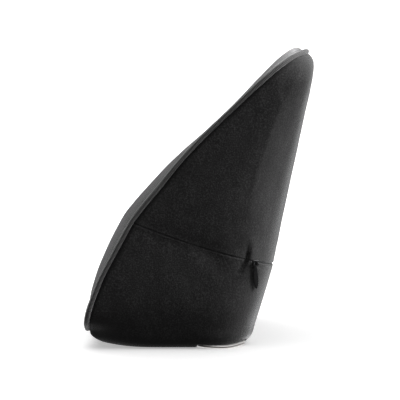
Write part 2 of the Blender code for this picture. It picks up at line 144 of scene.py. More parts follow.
@dataclass(frozen=True)
class PillowForm:
    """The pillow's sizes in millimetres, and the lines and rings that follow from them."""

    levels: tuple[Level, ...] = LEVELS
    seam_level: int = 8
    half_width: float = 168.8
    top_corner: float = 50.0
    bottom_corner: float = 24.0
    top_arch: float = 5.2
    arch_fade: float = 0.5
    arch_from: float = 200.0
    arch_over: float = 80.0
    back_at: float = 103.5
    back_x0: float = 101.2
    back_slope: float = 0.203
    lower_at: float = 17.6
    lower_x0: float = 78.0
    lower_slope: float = 0.304
    top_roll_at: float = 268.0
    top_roll: float = 110.0
    foot_front: float = -48.0
    foot_back: float = 60.0
    foot_side: float = 147.0
    foot_front_corner: float = 24.0
    foot_back_corner: float = 32.0
    foot_steps: int = 4
    foot_draw: float = 5.5
    foot_draw_top: float = 50.0
    corner_lead: float = 34.0
    seam_depth: float = 0.6
    seam_lead: float = 6.0
    foot_inner: float = 0.9
    crown_flat: float = 2.6
    crown_flank: float = 0.9
    seam_sag: float = 3.4
    seam_sag_reach: float = 95.0
    side_shares: tuple[float, ...] = (0.0, 0.05, 0.17, 0.33, 0.50, 0.63, 0.76, 0.88, 1.0)
    corner_steps: int = 3
    across_steps: int = 12
    corner_share: float = 0.33
    corner_base: float = 6.0
    corner_top: float = 42.2
    corner_most: float = 0.8

    @property
    def side_count(self) -> int:
        """Points of a ring on one side, from the welt to the end of the rear corner."""
        return len(self.side_shares) + self.corner_steps

    @property
    def far_corner(self) -> int:
        """Index of a ring's point at the far welt."""
        return 2 * self.side_count + self.across_steps - 2

    def back_x(self, z: float) -> float:
        """X of the back at height z: a straight upper back, and a lower back under the zip."""
        roll = max(0.0, z - self.top_roll_at) ** 2 / self.top_roll
        upper = self.back_x0 + (z - self.back_at) * self.back_slope - roll
        return min(upper, self.lower_x0 + (z - self.lower_at) * self.lower_slope)

    def run_lengths(self) -> list[float]:
        """Distance along the front seam from the bottom run to each level.

        Returns:
            The distances in millimetres, one for each level.
        """
        lengths = [0.0]
        for a, b in zip(self.levels, self.levels[1:]):
            lengths.append(lengths[-1] + math.hypot(b.front_x - a.front_x, b.front_z - a.front_z))
        return lengths

    def widths(self, index: int) -> tuple[float, float]:
        """Half-width of a level at the front seam, and behind it.

        Args:
            index: The level.

        Returns:
            The two half-widths in millimetres.
        """
        level, lengths = self.levels[index], self.run_lengths()
        span = self.foot_draw_top - self.levels[0].front_z
        drawn = max(0.0, (self.foot_draw_top - level.front_z) / span)
        behind = self.half_width - corner_loss(self.top_corner, lengths[-1] - lengths[index])
        at_seam = behind - corner_loss(self.bottom_corner, lengths[index])
        return at_seam, behind - self.foot_draw * drawn**2

    def front_normal(self, index: int) -> Vector:
        """Outward normal of the front seam's line at a level, in the side plane.

        Args:
            index: The level.

        Returns:
            The normal.
        """
        a = self.levels[max(index - 1, 0)]
        b = self.levels[min(index + 1, len(self.levels) - 1)]
        along = Vector((b.front_x - a.front_x, 0.0, b.front_z - a.front_z)).normalized()
        return Vector((-along.z, 0.0, along.x))

    def arch(self, height: float, y: float, depth_share: float) -> Vector:
        """Rise of the top edge towards the middle.

        Args:
            height: Height of the point before the rise.
            y: Its place across the pillow.
            depth_share: Its place from the welt (0) to the back (1).

        Returns:
            The shift of the point.
        """
        rise = self.top_arch * smooth((height - self.arch_from) / self.arch_over)
        rise *= (1 - (y / self.half_width) ** 2) * (1 - self.arch_fade * depth_share)
        return Vector((rise * self.back_slope, 0.0, rise))

    def across(self) -> list[float]:
        """Places from one side to the other, closer together near the sides, without the ends."""
        steps = self.across_steps
        return [math.sin(math.pi / 2 * (2 * k / steps - 1)) for k in range(1, steps)]

    def half_loop(self, index: int, depth: float) -> list[tuple[float, float]]:
        """Depth and half-width of a level's points from the welt to the end of the rear corner.

        Args:
            index: The level.
            depth: Its depth from the welt to the back.

        Returns:
            Pairs of depth and half-width.
        """
        level = self.levels[index]
        radius = min(
            self.corner_share * depth + self.corner_base, self.corner_top, self.corner_most * depth)
        straight = depth - radius
        at_seam, behind = self.widths(index)
        spots = []
        for share in self.side_shares:
            run = straight * share
            wide = at_seam + (behind - at_seam) * smooth(run / self.corner_lead)
            spots.append((run, wide + level.swell * 4 * share * (1 - share), 0.0, 1.0))
        for k in range(1, self.corner_steps + 1):
            turn = math.pi / 2 * k / self.corner_steps
            out, aside = math.sin(turn), math.cos(turn)
            spots.append((straight + radius * out, behind - radius + radius * aside, out, aside))
        loop = []
        for run, wide, out, aside in spots:
            sink = level.seam * self.seam_depth * min(1.0, run / self.seam_lead)
            loop.append((run - sink * out, wide - sink * aside))
        return loop

    def ring(self, index: int) -> list[Vector]:
        """Points of one level: near welt, side, back, far side, far welt, then across the front.

        Args:
            index: The level.

        Returns:
            The ring's points in millimetres.
        """
        level = self.levels[index]
        front = Vector((level.front_x, 0.0, level.front_z))
        back = Vector((self.back_x(level.back_z), 0.0, level.back_z))
        depth = (back - front).length
        inward = (back - front) / depth
        half = self.half_loop(index, depth)
        rear_run, inner = half[-1]
        loop = [(run, -wide) for run, wide in half]
        loop += [(rear_run, inner * w) for w in self.across()]
        loop += [(run, wide) for run, wide in reversed(half)]
        reach = abs(level.front_z - self.levels[self.seam_level].front_z) / self.seam_sag_reach
        sag = self.seam_sag * smooth(1 - reach)
        points = []
        for run, y in loop:
            share = run / depth
            point = front + inward * run + Vector((0.0, y, -sag * 4 * share * (1 - share)))
            points.append(point + self.arch(point.z, y, share))
        at_seam, normal = self.widths(index)[0], self.front_normal(index)
        for w in reversed(self.across()):
            stand = normal * (level.crown * (1 - abs(w) ** self.crown_flat) ** self.crown_flank)
            point = front + stand + Vector((0.0, w * at_seam, 0.0))
            points.append(point + self.arch(front.z, point.y, 0.0))
        return points

    def foot(self, lowest: list[Vector]) -> list[Vector]:
        """Outline of the flat bottom, a rounded rectangle.

        Args:
            lowest: The lowest ring.

        Returns:
            One point for each point of that ring.
        """
        count, places = self.side_count, self.across()
        ratios = [-1.0] * count + places + [1.0] * count + list(reversed(places))
        depth = self.back_x(self.levels[0].back_z) - self.levels[0].front_x
        points = []
        for p, ratio in zip(lowest, ratios):
            share = max(0.0, min(1.0, (p.x - self.levels[0].front_x) / depth))
            x = self.foot_front + (self.foot_back - self.foot_front) * share
            ahead, behind = x - self.foot_front, self.foot_back - x
            corner = self.foot_front_corner if ahead < behind else self.foot_back_corner
            wide = self.foot_side - corner_loss(corner, min(ahead, behind))
            points.append(Vector((x, ratio * wide, 0.0)))
        return points

    def rows(self) -> list[list[Vector]]:
        """All rows of the cage: inside the flat bottom, round its edge, then every level.

        Returns:
            The rows, each with one point for each point of a ring.
        """
        rings = [self.ring(i) for i in range(len(self.levels))]
        foot = self.foot(rings[0])
        middle = Vector(((self.foot_front + self.foot_back) / 2, 0.0, 0.0))
        rows = [[middle + (p - middle) * self.foot_inner for p in foot]]
        for k in range(self.foot_steps, 0, -1):
            turn = math.pi / 2 * k / self.foot_steps
            blend, rise = math.cos(turn), 1 - math.sin(turn)
            rows.append([
                Vector((t.x + (s.x - t.x) * blend, t.y + (s.y - t.y) * blend, s.z * rise))
                for t, s in zip(foot, rings[0])
            ])
        return rows + rings

    def front_loop(self) -> list[tuple[Vector, Vector]]:
        """The front seam as a closed loop.

        Returns:
            Pairs of a point and the front panel's normal there.
        """
        rings = [self.ring(i) for i in range(len(self.levels))]
        normals = [self.front_normal(i) for i in range(len(self.levels))]
        far = self.far_corner - 1
        near_side = [(r[0], n) for r, n in zip(rings, normals)]
        far_side = [(r[far], n) for r, n in zip(rings, normals)]
        bottom = [(p, normals[0]) for p in rings[0][far + 1 :]]
        top = [(p, normals[-1]) for p in reversed(rings[-1][far + 1 :])]
        return near_side + top + list(reversed(far_side)) + bottom

    def zip_line(self) -> list[Vector]:
        """The zip line from the near welt round the back to the far welt."""
        return self.ring(self.seam_level)[: self.far_corner]


def even_line(points: list[Vector], count: int, closed: bool) -> list[Vector]:
    """A smooth line through the points, with evenly spaced points.

    Args:
        points: The points to pass through.
        count: How many points the result has.
        closed: Whether the line returns to its start.

    Returns:
        The new points.
    """
    size = len(points)
    last = size if closed else size - 1

    def at(index: int) -> Vector:
        """The point of this index, round the loop or held at the ends."""
        return points[index % size] if closed else points[max(0, min(size - 1, index))]

    dense: list[Vector] = []
    for k in range(last):
        p0, p1, p2, p3 = at(k - 1), at(k), at(k + 1), at(k + 2)
        for j in range(CURVE_STEPS):
            t = j / CURVE_STEPS
            dense.append(0.5 * (
                2 * p1 + (p2 - p0) * t + (2 * p0 - 5 * p1 + 4 * p2 - p3) * t**2
                + (3 * p1 - p0 - 3 * p2 + p3) * t**3
            ))
    dense.append(at(last).copy())
    runs = [0.0]
    for a, b in zip(dense, dense[1:]):
        runs.append(runs[-1] + (b - a).length)
    stops = count if closed else count - 1
    even, here = [], 0
    for k in range(count):
        want = min(runs[-1] * k / stops, runs[-1])
        while here < len(dense) - 2 and runs[here + 1] < want:
            here += 1
        share = (want - runs[here]) / (runs[here + 1] - runs[here])
        even.append(dense[here].lerp(dense[here + 1], share))
    return even


@dataclass(frozen=True)
class Grain:
    """One noise: its repeats for each unit of the vector, its octaves and its roughness."""

    scale: float
    detail: float
    roughness: float


class Graph:
    """A material's node tree, built by short calls."""

    def __init__(self, name: str) -> None:
        """Start a material with a Principled shader.

        Args:
            name: Name of the material.
        """
        self.material = bpy.data.materials.new(name)
        self.material.use_nodes = True
        self.tree = self.material.node_tree
        self.shader = self.tree.nodes["Principled BSDF"]

    def node(self, kind: str, **settings: object) -> bpy.types.Node:
        """Add a node and set its properties.

        Args:
            kind: The node's type.
            settings: Values of its properties.

        Returns:
            The node.
        """
        made = self.tree.nodes.new(kind)
        for key, value in settings.items():
            setattr(made, key, value)
        return made

    def link(self, source: bpy.types.NodeSocket, target: bpy.types.NodeSocket) -> None:
        """Join two sockets."""
        self.tree.links.new(source, target)

    def coordinates(self, space: str = "Object",
                    scale: tuple[float, float, float] = (1.0, 1.0, 1.0)) -> bpy.types.NodeSocket:
        """Scaled coordinates of the piece.

        Args:
            space: "Object" or "UV".
            scale: Repeats per metre along each axis.

        Returns:
            The vector socket.
        """
        source = self.node("ShaderNodeTexCoord")
        mapping = self.node("ShaderNodeMapping")
        mapping.inputs["Scale"].default_value = scale
        self.link(source.outputs[space], mapping.inputs["Vector"])
        return mapping.outputs["Vector"]

    def noise(self, vector: bpy.types.NodeSocket, grain: Grain) -> bpy.types.NodeSocket:
        """Noise as a number.

        Args:
            vector: Where it is read.
            grain: Its scale, detail and roughness.

        Returns:
            The number's socket.
        """
        made = self.node("ShaderNodeTexNoise")
        made.inputs["Scale"].default_value = grain.scale
        made.inputs["Detail"].default_value = grain.detail
        made.inputs["Roughness"].default_value = grain.roughness
        self.link(vector, made.inputs["Vector"])
        return made.outputs["Fac"]

    def ramp(self, value: bpy.types.NodeSocket,
             stops: list[tuple[float, tuple[float, float, float]]]) -> bpy.types.NodeSocket:
        """Colours along a value.

        Args:
            value: The value, from 0 to 1.
            stops: Places along it with their colours, in order.

        Returns:
            The colour's socket.
        """
        made = self.node("ShaderNodeValToRGB")
        elements = made.color_ramp.elements
        elements[0].position, elements[0].color = stops[0][0], (*stops[0][1], 1.0)
        elements[1].position, elements[1].color = stops[-1][0], (*stops[-1][1], 1.0)
        for place, colour in stops[1:-1]:
            elements.new(place).color = (*colour, 1.0)
        self.link(value, made.inputs["Fac"])
        return made.outputs["Color"]

    def to_range(self, value: bpy.types.NodeSocket, low: float, high: float,
                 start: float = 0.0, end: float = 1.0) -> bpy.types.NodeSocket:
        """The value moved from one range to another, and held inside it.

        Args:
            value: The value.
            low: Result at the start of the range.
            high: Result at its end.
            start: The value there.
            end: The value at the end.

        Returns:
            The result's socket.
        """
        made = self.node("ShaderNodeMapRange")
        for key, number in (("From Min", start), ("From Max", end), ("To Min", low), ("To Max", high)):
            made.inputs[key].default_value = number
        self.link(value, made.inputs["Value"])
        return made.outputs["Result"]

    def math(self, kind: str, a: bpy.types.NodeSocket,
             b: bpy.types.NodeSocket | float) -> bpy.types.NodeSocket:
        """Arithmetic on a value and another one or a number.

        Args:
            kind: The operation, such as "ADD".
            a: The value.
            b: The other value, or a number.

        Returns:
            The result's socket.
        """
        made = self.node("ShaderNodeMath", operation=kind)
        self.link(a, made.inputs[0])
        if isinstance(b, (int, float)):
            made.inputs[1].default_value = b
        else:
            self.link(b, made.inputs[1])
        return made.outputs["Value"]

    def mix(self, *parts: tuple[bpy.types.NodeSocket, float]) -> bpy.types.NodeSocket:
        """The sum of values, each times its share.

        Args:
            parts: Pairs of a value and its share.

        Returns:
            The sum's socket.
        """
        total, *others = (self.math("MULTIPLY", value, share) for value, share in parts)
        for scaled in others:
            total = self.math("ADD", total, scaled)
        return total

    def multiply(self, colour: bpy.types.NodeSocket,
                 share: bpy.types.NodeSocket) -> bpy.types.NodeSocket:
        """The colour times a varying number.

        Args:
            colour: The colour.
            share: The number.

        Returns:
            The new colour's socket.
        """
        made = self.node("ShaderNodeVectorMath", operation="SCALE")
        self.link(colour, made.inputs[0])
        self.link(share, made.inputs["Scale"])
        return made.outputs["Vector"]

    def bump(self, height: bpy.types.NodeSocket, distance: float, strength: float,
             below: bpy.types.NodeSocket | None = None) -> bpy.types.NodeSocket:
        """A bump, on top of another one if it is given.

        Args:
            height: The height, from 0 to 1.
            distance: How deep that is, in metres.
            strength: Share of it that shows.
            below: The normal of the bump beneath.

        Returns:
            The normal's socket.
        """
        made = self.node("ShaderNodeBump")
        made.inputs["Strength"].default_value = strength
        made.inputs["Distance"].default_value = distance
        self.link(height, made.inputs["Height"])
        if below is not None:
            self.link(below, made.inputs["Normal"])
        return made.outputs["Normal"]

    def set(self, **values: object) -> None:
        """Set constant values on the shader's own sockets, by name with _ for a space."""
        for key, value in values.items():
            self.shader.inputs[key.replace("_", " ")].default_value = value


@dataclass(frozen=True)
class Velour:
    """Short-pile black velour: dull and dark seen straight on, pale where it turns away.

    Its base colour carries painted shade: darker on faces that turn downwards, and darker where a mesh
    attribute marks the groove beside the welt and the closed zip's slit past the slider.
    """

    name: str = "cover_velour"
    dark: tuple[float, float, float] = (0.0030, 0.0030, 0.0030)
    middle: tuple[float, float, float] = (0.0078, 0.0078, 0.0079)
    pale: tuple[float, float, float] = (0.0220, 0.0219, 0.0220)
    stops: tuple[float, float, float] = (0.37, 0.50, 0.66)
    patches: Grain = Grain(120.0, 3.0, 0.6)
    clouds: Grain = Grain(22.0, 3.0, 0.55)
    tufts: Grain = Grain(720.0, 3.0, 0.7)
    fibres: Grain = Grain(2400.0, 2.0, 0.6)
    patch_share: float = 0.16
    cloud_share: float = 0.06
    tuft_share: float = 0.78
    brushed_scale: tuple[float, float, float] = (1.0, 1.0, 0.45)
    # Painted shade: share of the base colour left on faces turned downwards, and the normal's z over
    # which it eases in.
    painted_under_shade: float = 0.06
    painted_under_shade_slopes: tuple[float, float] = (-0.7, 0.1)
    # Share of the base colour left where the painted seam shade is full.
    painted_seam_shade_share: float = 0.22
    sheen: float = 0.24
    sheen_roughness: float = 0.36
    sheen_tint: tuple[float, float, float, float] = (0.90, 0.90, 0.91, 1.0)
    shine: float = 0.08
    roughness: tuple[float, float] = (0.78, 1.0)
    roughness_from: tuple[float, float] = (0.3, 0.7)
    pile_bump_mm: float = 0.34
    pile_tufts: float = 0.6
    nap_bump_mm: float = 0.4
    nap_strength: float = 0.35

    def build(self) -> bpy.types.Material:
        """Make the material.

        Returns:
            The velour material.
        """
        g = Graph(self.name)
        place = g.coordinates()
        brushed = g.coordinates(scale=self.brushed_scale)
        patches, clouds = g.noise(brushed, self.patches), g.noise(place, self.clouds)
        tufts, fibres = g.noise(place, self.tufts), g.noise(brushed, self.fibres)
        mixed = g.mix((patches, self.patch_share), (clouds, self.cloud_share), (tufts, self.tuft_share))
        colour = g.ramp(mixed, list(zip(self.stops, (self.dark, self.middle, self.pale))))
        # Painted shade: the base colour is darkened on faces that turn downwards.
        facing = g.node("ShaderNodeSeparateXYZ")
        g.link(g.node("ShaderNodeTexCoord").outputs["Normal"], facing.inputs["Vector"])
        under = g.to_range(facing.outputs["Z"], self.painted_under_shade, 1.0, *self.painted_under_shade_slopes)
        # Painted shade: a mesh attribute darkens the base colour in the seams' grooves.
        painted_seam_shade = g.node("ShaderNodeAttribute", attribute_name="painted_seam_shade")
        held = g.to_range(painted_seam_shade.outputs["Fac"], 1.0, self.painted_seam_shade_share)
        g.link(g.multiply(colour, g.math("MULTIPLY", under, held)), g.shader.inputs["Base Color"])
        g.link(g.to_range(mixed, *self.roughness, *self.roughness_from), g.shader.inputs["Roughness"])
        nap = g.bump(patches, self.nap_bump_mm * MM, self.nap_strength)
        pile = g.mix((tufts, self.pile_tufts), (fibres, 1 - self.pile_tufts))
        g.link(g.bump(pile, self.pile_bump_mm * MM, 1.0, nap), g.shader.inputs["Normal"])
        g.set(Sheen_Weight=self.sheen, Sheen_Roughness=self.sheen_roughness,
              Sheen_Tint=self.sheen_tint, Specular_IOR_Level=self.shine)
        return g.material


@dataclass(frozen=True)
class WeltVelour:
    """The same velour cut on the bias and pulled over a cord: fine ribs cross it.

    A mesh attribute is 1 on the cord's front edge, where the base colour is made paler: a painted
    highlight along the cord's lit edge.
    """

    name: str = "welt_velour_ribbed"
    dark: tuple[float, float, float] = (0.0030, 0.0030, 0.0031)
    pale: tuple[float, float, float] = (0.0370, 0.0368, 0.0370)
    stops: tuple[float, float] = (0.25, 0.75)
    roughness: tuple[float, float] = (1.0, 0.8)
    # How many times paler the painted highlight makes the cord's front edge.
    painted_highlight_times: float = 9.0
    rib_mm: float = 1.25
    rib_slant_mm: float = 9.0
    rib_share: float = 0.7
    rib_bump_mm: float = 0.30
    rib_strength: float = 0.9
    waver: Grain = Grain(380.0, 2.0, 0.5)
    waver_radians: float = 2.6
    tufts: Grain = Grain(900.0, 3.0, 0.6)
    tuft_bump_mm: float = 0.16
    tuft_strength: float = 0.8
    sheen: float = 0.40
    sheen_roughness: float = 0.34
    sheen_tint: tuple[float, float, float, float] = (0.92, 0.92, 0.93, 1.0)
    shine: float = 0.15

    def build(self) -> bpy.types.Material:
        """Make the material; it reads a UV map in metres along and around the cord.

        Returns:
            The welt's material.
        """
        g = Graph(self.name)
        place = g.coordinates()
        split = g.node("ShaderNodeSeparateXYZ")
        g.link(g.coordinates("UV"), split.inputs["Vector"])
        run = g.math("MULTIPLY", split.outputs["X"], 2 * math.pi / (self.rib_mm * MM))
        slant = g.math("MULTIPLY", split.outputs["Y"], 2 * math.pi / (self.rib_slant_mm * MM))
        waver = g.math("MULTIPLY", g.noise(place, self.waver), self.waver_radians)
        phase = g.math("ADD", g.math("ADD", run, slant), waver)
        rib = g.to_range(g.math("SINE", phase, 0.0), 0.0, 1.0, -1.0, 1.0)
        tufts = g.noise(place, self.tufts)
        tone = g.mix((rib, self.rib_share), (tufts, 1 - self.rib_share))
        # Painted highlight: the attribute makes the base colour paler on the cord's front edge.
        painted_highlight = g.node("ShaderNodeAttribute", attribute_name="painted_highlight")
        highlight_gain = g.to_range(painted_highlight.outputs["Fac"], 1.0, self.painted_highlight_times)
        colour = g.ramp(tone, list(zip(self.stops, (self.dark, self.pale))))
        g.link(g.multiply(colour, highlight_gain), g.shader.inputs["Base Color"])
        g.link(g.to_range(tone, *self.roughness), g.shader.inputs["Roughness"])
        ribs = g.bump(rib, self.rib_bump_mm * MM, self.rib_strength)
        g.link(g.bump(tufts, self.tuft_bump_mm * MM, self.tuft_strength, ribs), g.shader.inputs["Normal"])
        g.set(Sheen_Weight=self.sheen, Sheen_Roughness=self.sheen_roughness,
              Sheen_Tint=self.sheen_tint, Specular_IOR_Level=self.shine)
        return g.material


@dataclass(frozen=True)
class BlackLacquer:
    """Black lacquer on die-cast metal, with a painted highlight: a bright spot painted on the slider
    behind the puller's eye.
    """

    name: str = "zip_black_lacquer"
    deep: tuple[float, float, float] = (0.0012, 0.0012, 0.0013)
    light: tuple[float, float, float] = (0.0042, 0.0042, 0.0044)
    stops: tuple[float, float] = (0.35, 0.75)
    roughness: tuple[float, float] = (0.26, 0.40)
    grain_bump_mm: float = 0.02
    grain_strength: float = 0.4
    grain: Grain = Grain(1800.0, 3.0, 0.6)
    tone_and_glint_edge: Grain = Grain(420.0, 4.0, 0.7)
    # Painted highlight: middle of the bright spot, its size, soft edge, ragged edge and how many times
    # brighter it is.
    painted_glint_at: tuple[float, float, float] | None = None
    painted_glint_mm: float = 1.0
    painted_glint_edge_mm: float = 0.6
    painted_glint_ragged_mm: float = 0.5
    painted_glint_times: float = 40.0
    shine: float = 0.05

    def build(self) -> bpy.types.Material:
        """Make the material.

        Returns:
            The lacquer material.
        """
        g = Graph(self.name)
        place = g.coordinates()
        grain, tone_and_glint_edge = g.noise(place, self.grain), g.noise(place, self.tone_and_glint_edge)
        colour = g.ramp(tone_and_glint_edge, list(zip(self.stops, (self.deep, self.light))))
        # Painted highlight: the colour is made many times brighter round the spot behind the puller's
        # eye.
        if self.painted_glint_at is not None:
            gap = g.node("ShaderNodeVectorMath", operation="DISTANCE")
            gap.inputs[1].default_value = self.painted_glint_at
            g.link(place, gap.inputs[0])
            ragged = g.math("MULTIPLY", tone_and_glint_edge, self.painted_glint_ragged_mm * MM)
            edge = g.math("ADD", gap.outputs["Value"], ragged)
            painted_glint = g.to_range(edge, self.painted_glint_times, 1.0, self.painted_glint_mm * MM,
                              (self.painted_glint_mm + self.painted_glint_edge_mm) * MM)
            colour = g.multiply(colour, painted_glint)
        g.link(colour, g.shader.inputs["Base Color"])
        g.link(g.to_range(grain, *self.roughness), g.shader.inputs["Roughness"])
        g.link(g.bump(grain, self.grain_bump_mm * MM, self.grain_strength), g.shader.inputs["Normal"])
        g.set(Specular_IOR_Level=self.shine)
        return g.material


@dataclass(frozen=True)
class LabelSatin:
    """White woven satin: fine threads across it and a faint cloud."""

    name: str = "label_satin_white"
    shade: tuple[float, float, float] = (0.62, 0.60, 0.585)
    white: tuple[float, float, float] = (0.72, 0.70, 0.685)
    stops: tuple[float, float] = (0.3, 0.7)
    roughness: tuple[float, float] = (0.42, 0.62)
    weft: Grain = Grain(260.0, 2.0, 0.5)
    thread_scale: tuple[float, float, float] = (1.0, 14.0, 14.0)
    cloud: Grain = Grain(70.0, 3.0, 0.5)
    weft_share: float = 0.6
    weft_bump_mm: float = 0.06
    weft_strength: float = 0.6
    sheen: float = 0.15
    shine: float = 0.4

    def build(self) -> bpy.types.Material:
        """Make the material.

        Returns:
            The satin material.
        """
        g = Graph(self.name)
        weft = g.noise(g.coordinates(scale=self.thread_scale), self.weft)
        cloud = g.noise(g.coordinates(), self.cloud)
        tone = g.mix((weft, self.weft_share), (cloud, 1 - self.weft_share))
        colour = g.ramp(tone, list(zip(self.stops, (self.shade, self.white))))
        g.link(colour, g.shader.inputs["Base Color"])
        g.link(g.to_range(weft, *self.roughness), g.shader.inputs["Roughness"])
        g.link(g.bump(weft, self.weft_bump_mm * MM, self.weft_strength), g.shader.inputs["Normal"])
        g.set(Sheen_Weight=self.sheen, Specular_IOR_Level=self.shine)
        return g.material


@dataclass(frozen=True)
class StudioPaper:
    """The pale floor and backdrop."""

    name: str = "studio_paper"
    shade: tuple[float, float, float] = (0.90, 0.90, 0.90)
    white: tuple[float, float, float] = (0.93, 0.93, 0.93)
    stops: tuple[float, float] = (0.3, 0.7)
    grain: Grain = Grain(300.0, 3.0, 0.5)
    roughness: float = 0.9
    shine: float = 0.1
    glow: float = 0.39

    def build(self) -> bpy.types.Material:
        """Make the material.

        Returns:
            The paper material.
        """
        g = Graph(self.name)
        grain = g.noise(g.coordinates(), self.grain)
        colour = g.ramp(grain, list(zip(self.stops, (self.shade, self.white))))
        g.link(colour, g.shader.inputs["Base Color"])
        g.set(Roughness=self.roughness, Specular_IOR_Level=self.shine,
              Emission_Color=(1.0, 1.0, 1.0, 1.0), Emission_Strength=self.glow)
        return g.material


class Bench:
    """Small steps of modelling by hand, and the hand-over of finished pieces."""

    @staticmethod
    def clear() -> None:
        """Leave edit mode and deselect everything."""
        if bpy.context.object and bpy.context.mode != "OBJECT":
            bpy.ops.object.mode_set(mode="OBJECT")
        bpy.ops.object.select_all(action="DESELECT")

    @staticmethod
    def activate(obj: bpy.types.Object) -> None:
        """Select one object alone and make it active."""
        Bench.clear()
        obj.select_set(True)
        bpy.context.view_layer.objects.active = obj

    @staticmethod
    def from_bmesh(name: str, bm: bmesh.types.BMesh) -> bpy.types.Object:
        """An object of this mesh, at the origin.

        Args:
            name: Name of the piece.
            bm: Its mesh, which is freed.

        Returns:
            The new object.
        """
        mesh = bpy.data.meshes.new(name)
        bm.to_mesh(mesh)
        bm.free()
        obj = bpy.data.objects.new(name, mesh)
        bpy.context.scene.collection.objects.link(obj)
        return obj

    @staticmethod
    def select(kind: str, rule: Callable[[bmesh.types.BMFace | bmesh.types.BMEdge], bool]) -> int:
        """Select, in edit mode, the faces or edges that meet the rule.

        Args:
            kind: "FACE" or "EDGE".
            rule: Says whether one of them is taken.

        Returns:
            How many are selected.
        """
        mesh = bpy.context.object.data
        bpy.ops.mesh.select_all(action="DESELECT")
        bpy.ops.mesh.select_mode(type=kind)
        bm = bmesh.from_edit_mesh(mesh)
        chosen = [item for item in (bm.faces if kind == "FACE" else bm.edges) if rule(item)]
        for item in chosen:
            item.select_set(True)
        bmesh.update_edit_mesh(mesh)
        return len(chosen)

    @staticmethod
    def face_outwards(obj: bpy.types.Object) -> None:
        """Merge doubles and turn every face of a closed shell outwards.

        Args:
            obj: The piece.
        """
        Bench.activate(obj)
        bpy.ops.object.mode_set(mode="EDIT")
        bpy.ops.mesh.select_all(action="SELECT")
        bpy.ops.mesh.remove_doubles(threshold=0.005 * MM)
        bpy.ops.mesh.normals_make_consistent(inside=False)
        bpy.ops.object.mode_set(mode="OBJECT")

    @staticmethod
    def apply_modifier(obj: bpy.types.Object, kind: str, **settings: object) -> None:
        """Add a modifier, set it and apply it.

        Args:
            obj: The piece.
            kind: The modifier's type.
            settings: Values of its properties.
        """
        Bench.activate(obj)
        modifier = obj.modifiers.new(kind.lower(), kind)
        for key, value in settings.items():
            setattr(modifier, key, value)
        bpy.ops.object.modifier_apply(modifier=modifier.name)

    @staticmethod
    def subdivide(obj: bpy.types.Object, levels: int) -> None:
        """Apply a Subdivision Surface of so many levels."""
        Bench.apply_modifier(obj, "SUBSURF", levels=levels, render_levels=levels)

    @staticmethod
    def place(obj: bpy.types.Object, matrix: Matrix) -> None:
        """Put the piece where it belongs, in its mesh."""
        obj.data.transform(matrix @ obj.matrix_world)
        obj.matrix_world = Matrix.Identity(4)

    @staticmethod
    def finish(obj: bpy.types.Object, material: bpy.types.Material, slot: Slot, nodes: list[str],
               angle: float = 60.0) -> None:
        """Dress a piece, hang it on the part's body and report it.

        Args:
            obj: The piece.
            material: Its finish.
            slot: Not used.
            nodes: The CAD nodes that it stands for.
            angle: Edges sharper than this stay sharp, in degrees.
        """
        obj.data.materials.clear()
        obj.data.materials.append(material)
        Bench.activate(obj)
        bpy.ops.object.shade_smooth_by_angle(angle=math.radians(angle))
        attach(obj, "root")
        if nodes:
            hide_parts(*nodes)
        Bench.clear()
        LOG.info("%s: %d faces", obj.name, len(obj.data.polygons))


class Track:
    """A line in space that gives, for any point, the distance to it and the place along it."""

    def __init__(self, points: list[Vector]) -> None:
        """Keep the line's points, in metres.

        Args:
            points: Closely spaced points.
        """
        self.points = points
        self.runs = [0.0]
        for a, b in zip(points, points[1:]):
            self.runs.append(self.runs[-1] + (b - a).length)
        self.tree = kdtree.KDTree(len(points))
        for k, p in enumerate(points):
            self.tree.insert(p, k)
        self.tree.balance()

    def near(self, point: Vector) -> tuple[float, float, Vector]:
        """Distance to the line, place along it in metres, and its nearest point."""
        spot, index, distance = self.tree.find(point)
        return distance, self.runs[index], spot


@dataclass(frozen=True)
class Fold:
    """A soft dent or ridge in the near side, along a line in x and z, all in millimetres.

    The line runs downwards. Behind it, towards the back, the side falls back by drop over the run,
    or starts higher by step, which dies away over the run.
    """

    line: tuple[tuple[float, float], ...]
    height: float
    width: float
    shoulder: float = 0.0
    drop: float = 0.0
    step: float = 0.0
    width_of_step: float = 1.5
    run: float = 18.0
    end_fade: float = 4.0
    end_strength: float = 0.12
    shoulder_at: float = 2.1

    def lift(self, x: float, z: float) -> float:
        """How far the fold moves the cover outwards at a place.

        Args:
            x: The place's x in millimetres.
            z: Its height in millimetres.

        Returns:
            The distance in millimetres.
        """
        best, share_at, behind, beyond = math.inf, 0.0, 0.0, 0.0
        count = len(self.line) - 1
        for k, ((ax, az), (bx, bz)) in enumerate(zip(self.line, self.line[1:])):
            dx, dz = bx - ax, bz - az
            t = max(0.0, min(1.0, ((x - ax) * dx + (z - az) * dz) / (dx * dx + dz * dz)))
            gap = math.hypot(x - ax - t * dx, z - az - t * dz)
            if gap < best:
                best, share_at = gap, (k + t) / count
                behind = ((z - az) * dx - (x - ax) * dz) / math.hypot(dx, dz)
                beyond = math.sqrt(max(0.0, gap**2 - behind**2))
        strength = math.sin(math.pi * (self.end_strength + (1 - 2 * self.end_strength) * share_at))
        core = math.exp(-((best / self.width) ** 2))
        beside = math.exp(-(((best - self.shoulder_at * self.width) / self.width) ** 2))
        fall = self.drop * max(0.0, min(1.0, behind / self.run))
        edge = smooth(0.5 + behind / (2 * self.width_of_step))
        start = self.step * edge * math.exp(-max(0.0, behind) / self.run)
        fade = math.exp(-((beyond / self.end_fade) ** 2))
        return strength * (self.height * core + self.shoulder * beside + (start - fall) * fade)


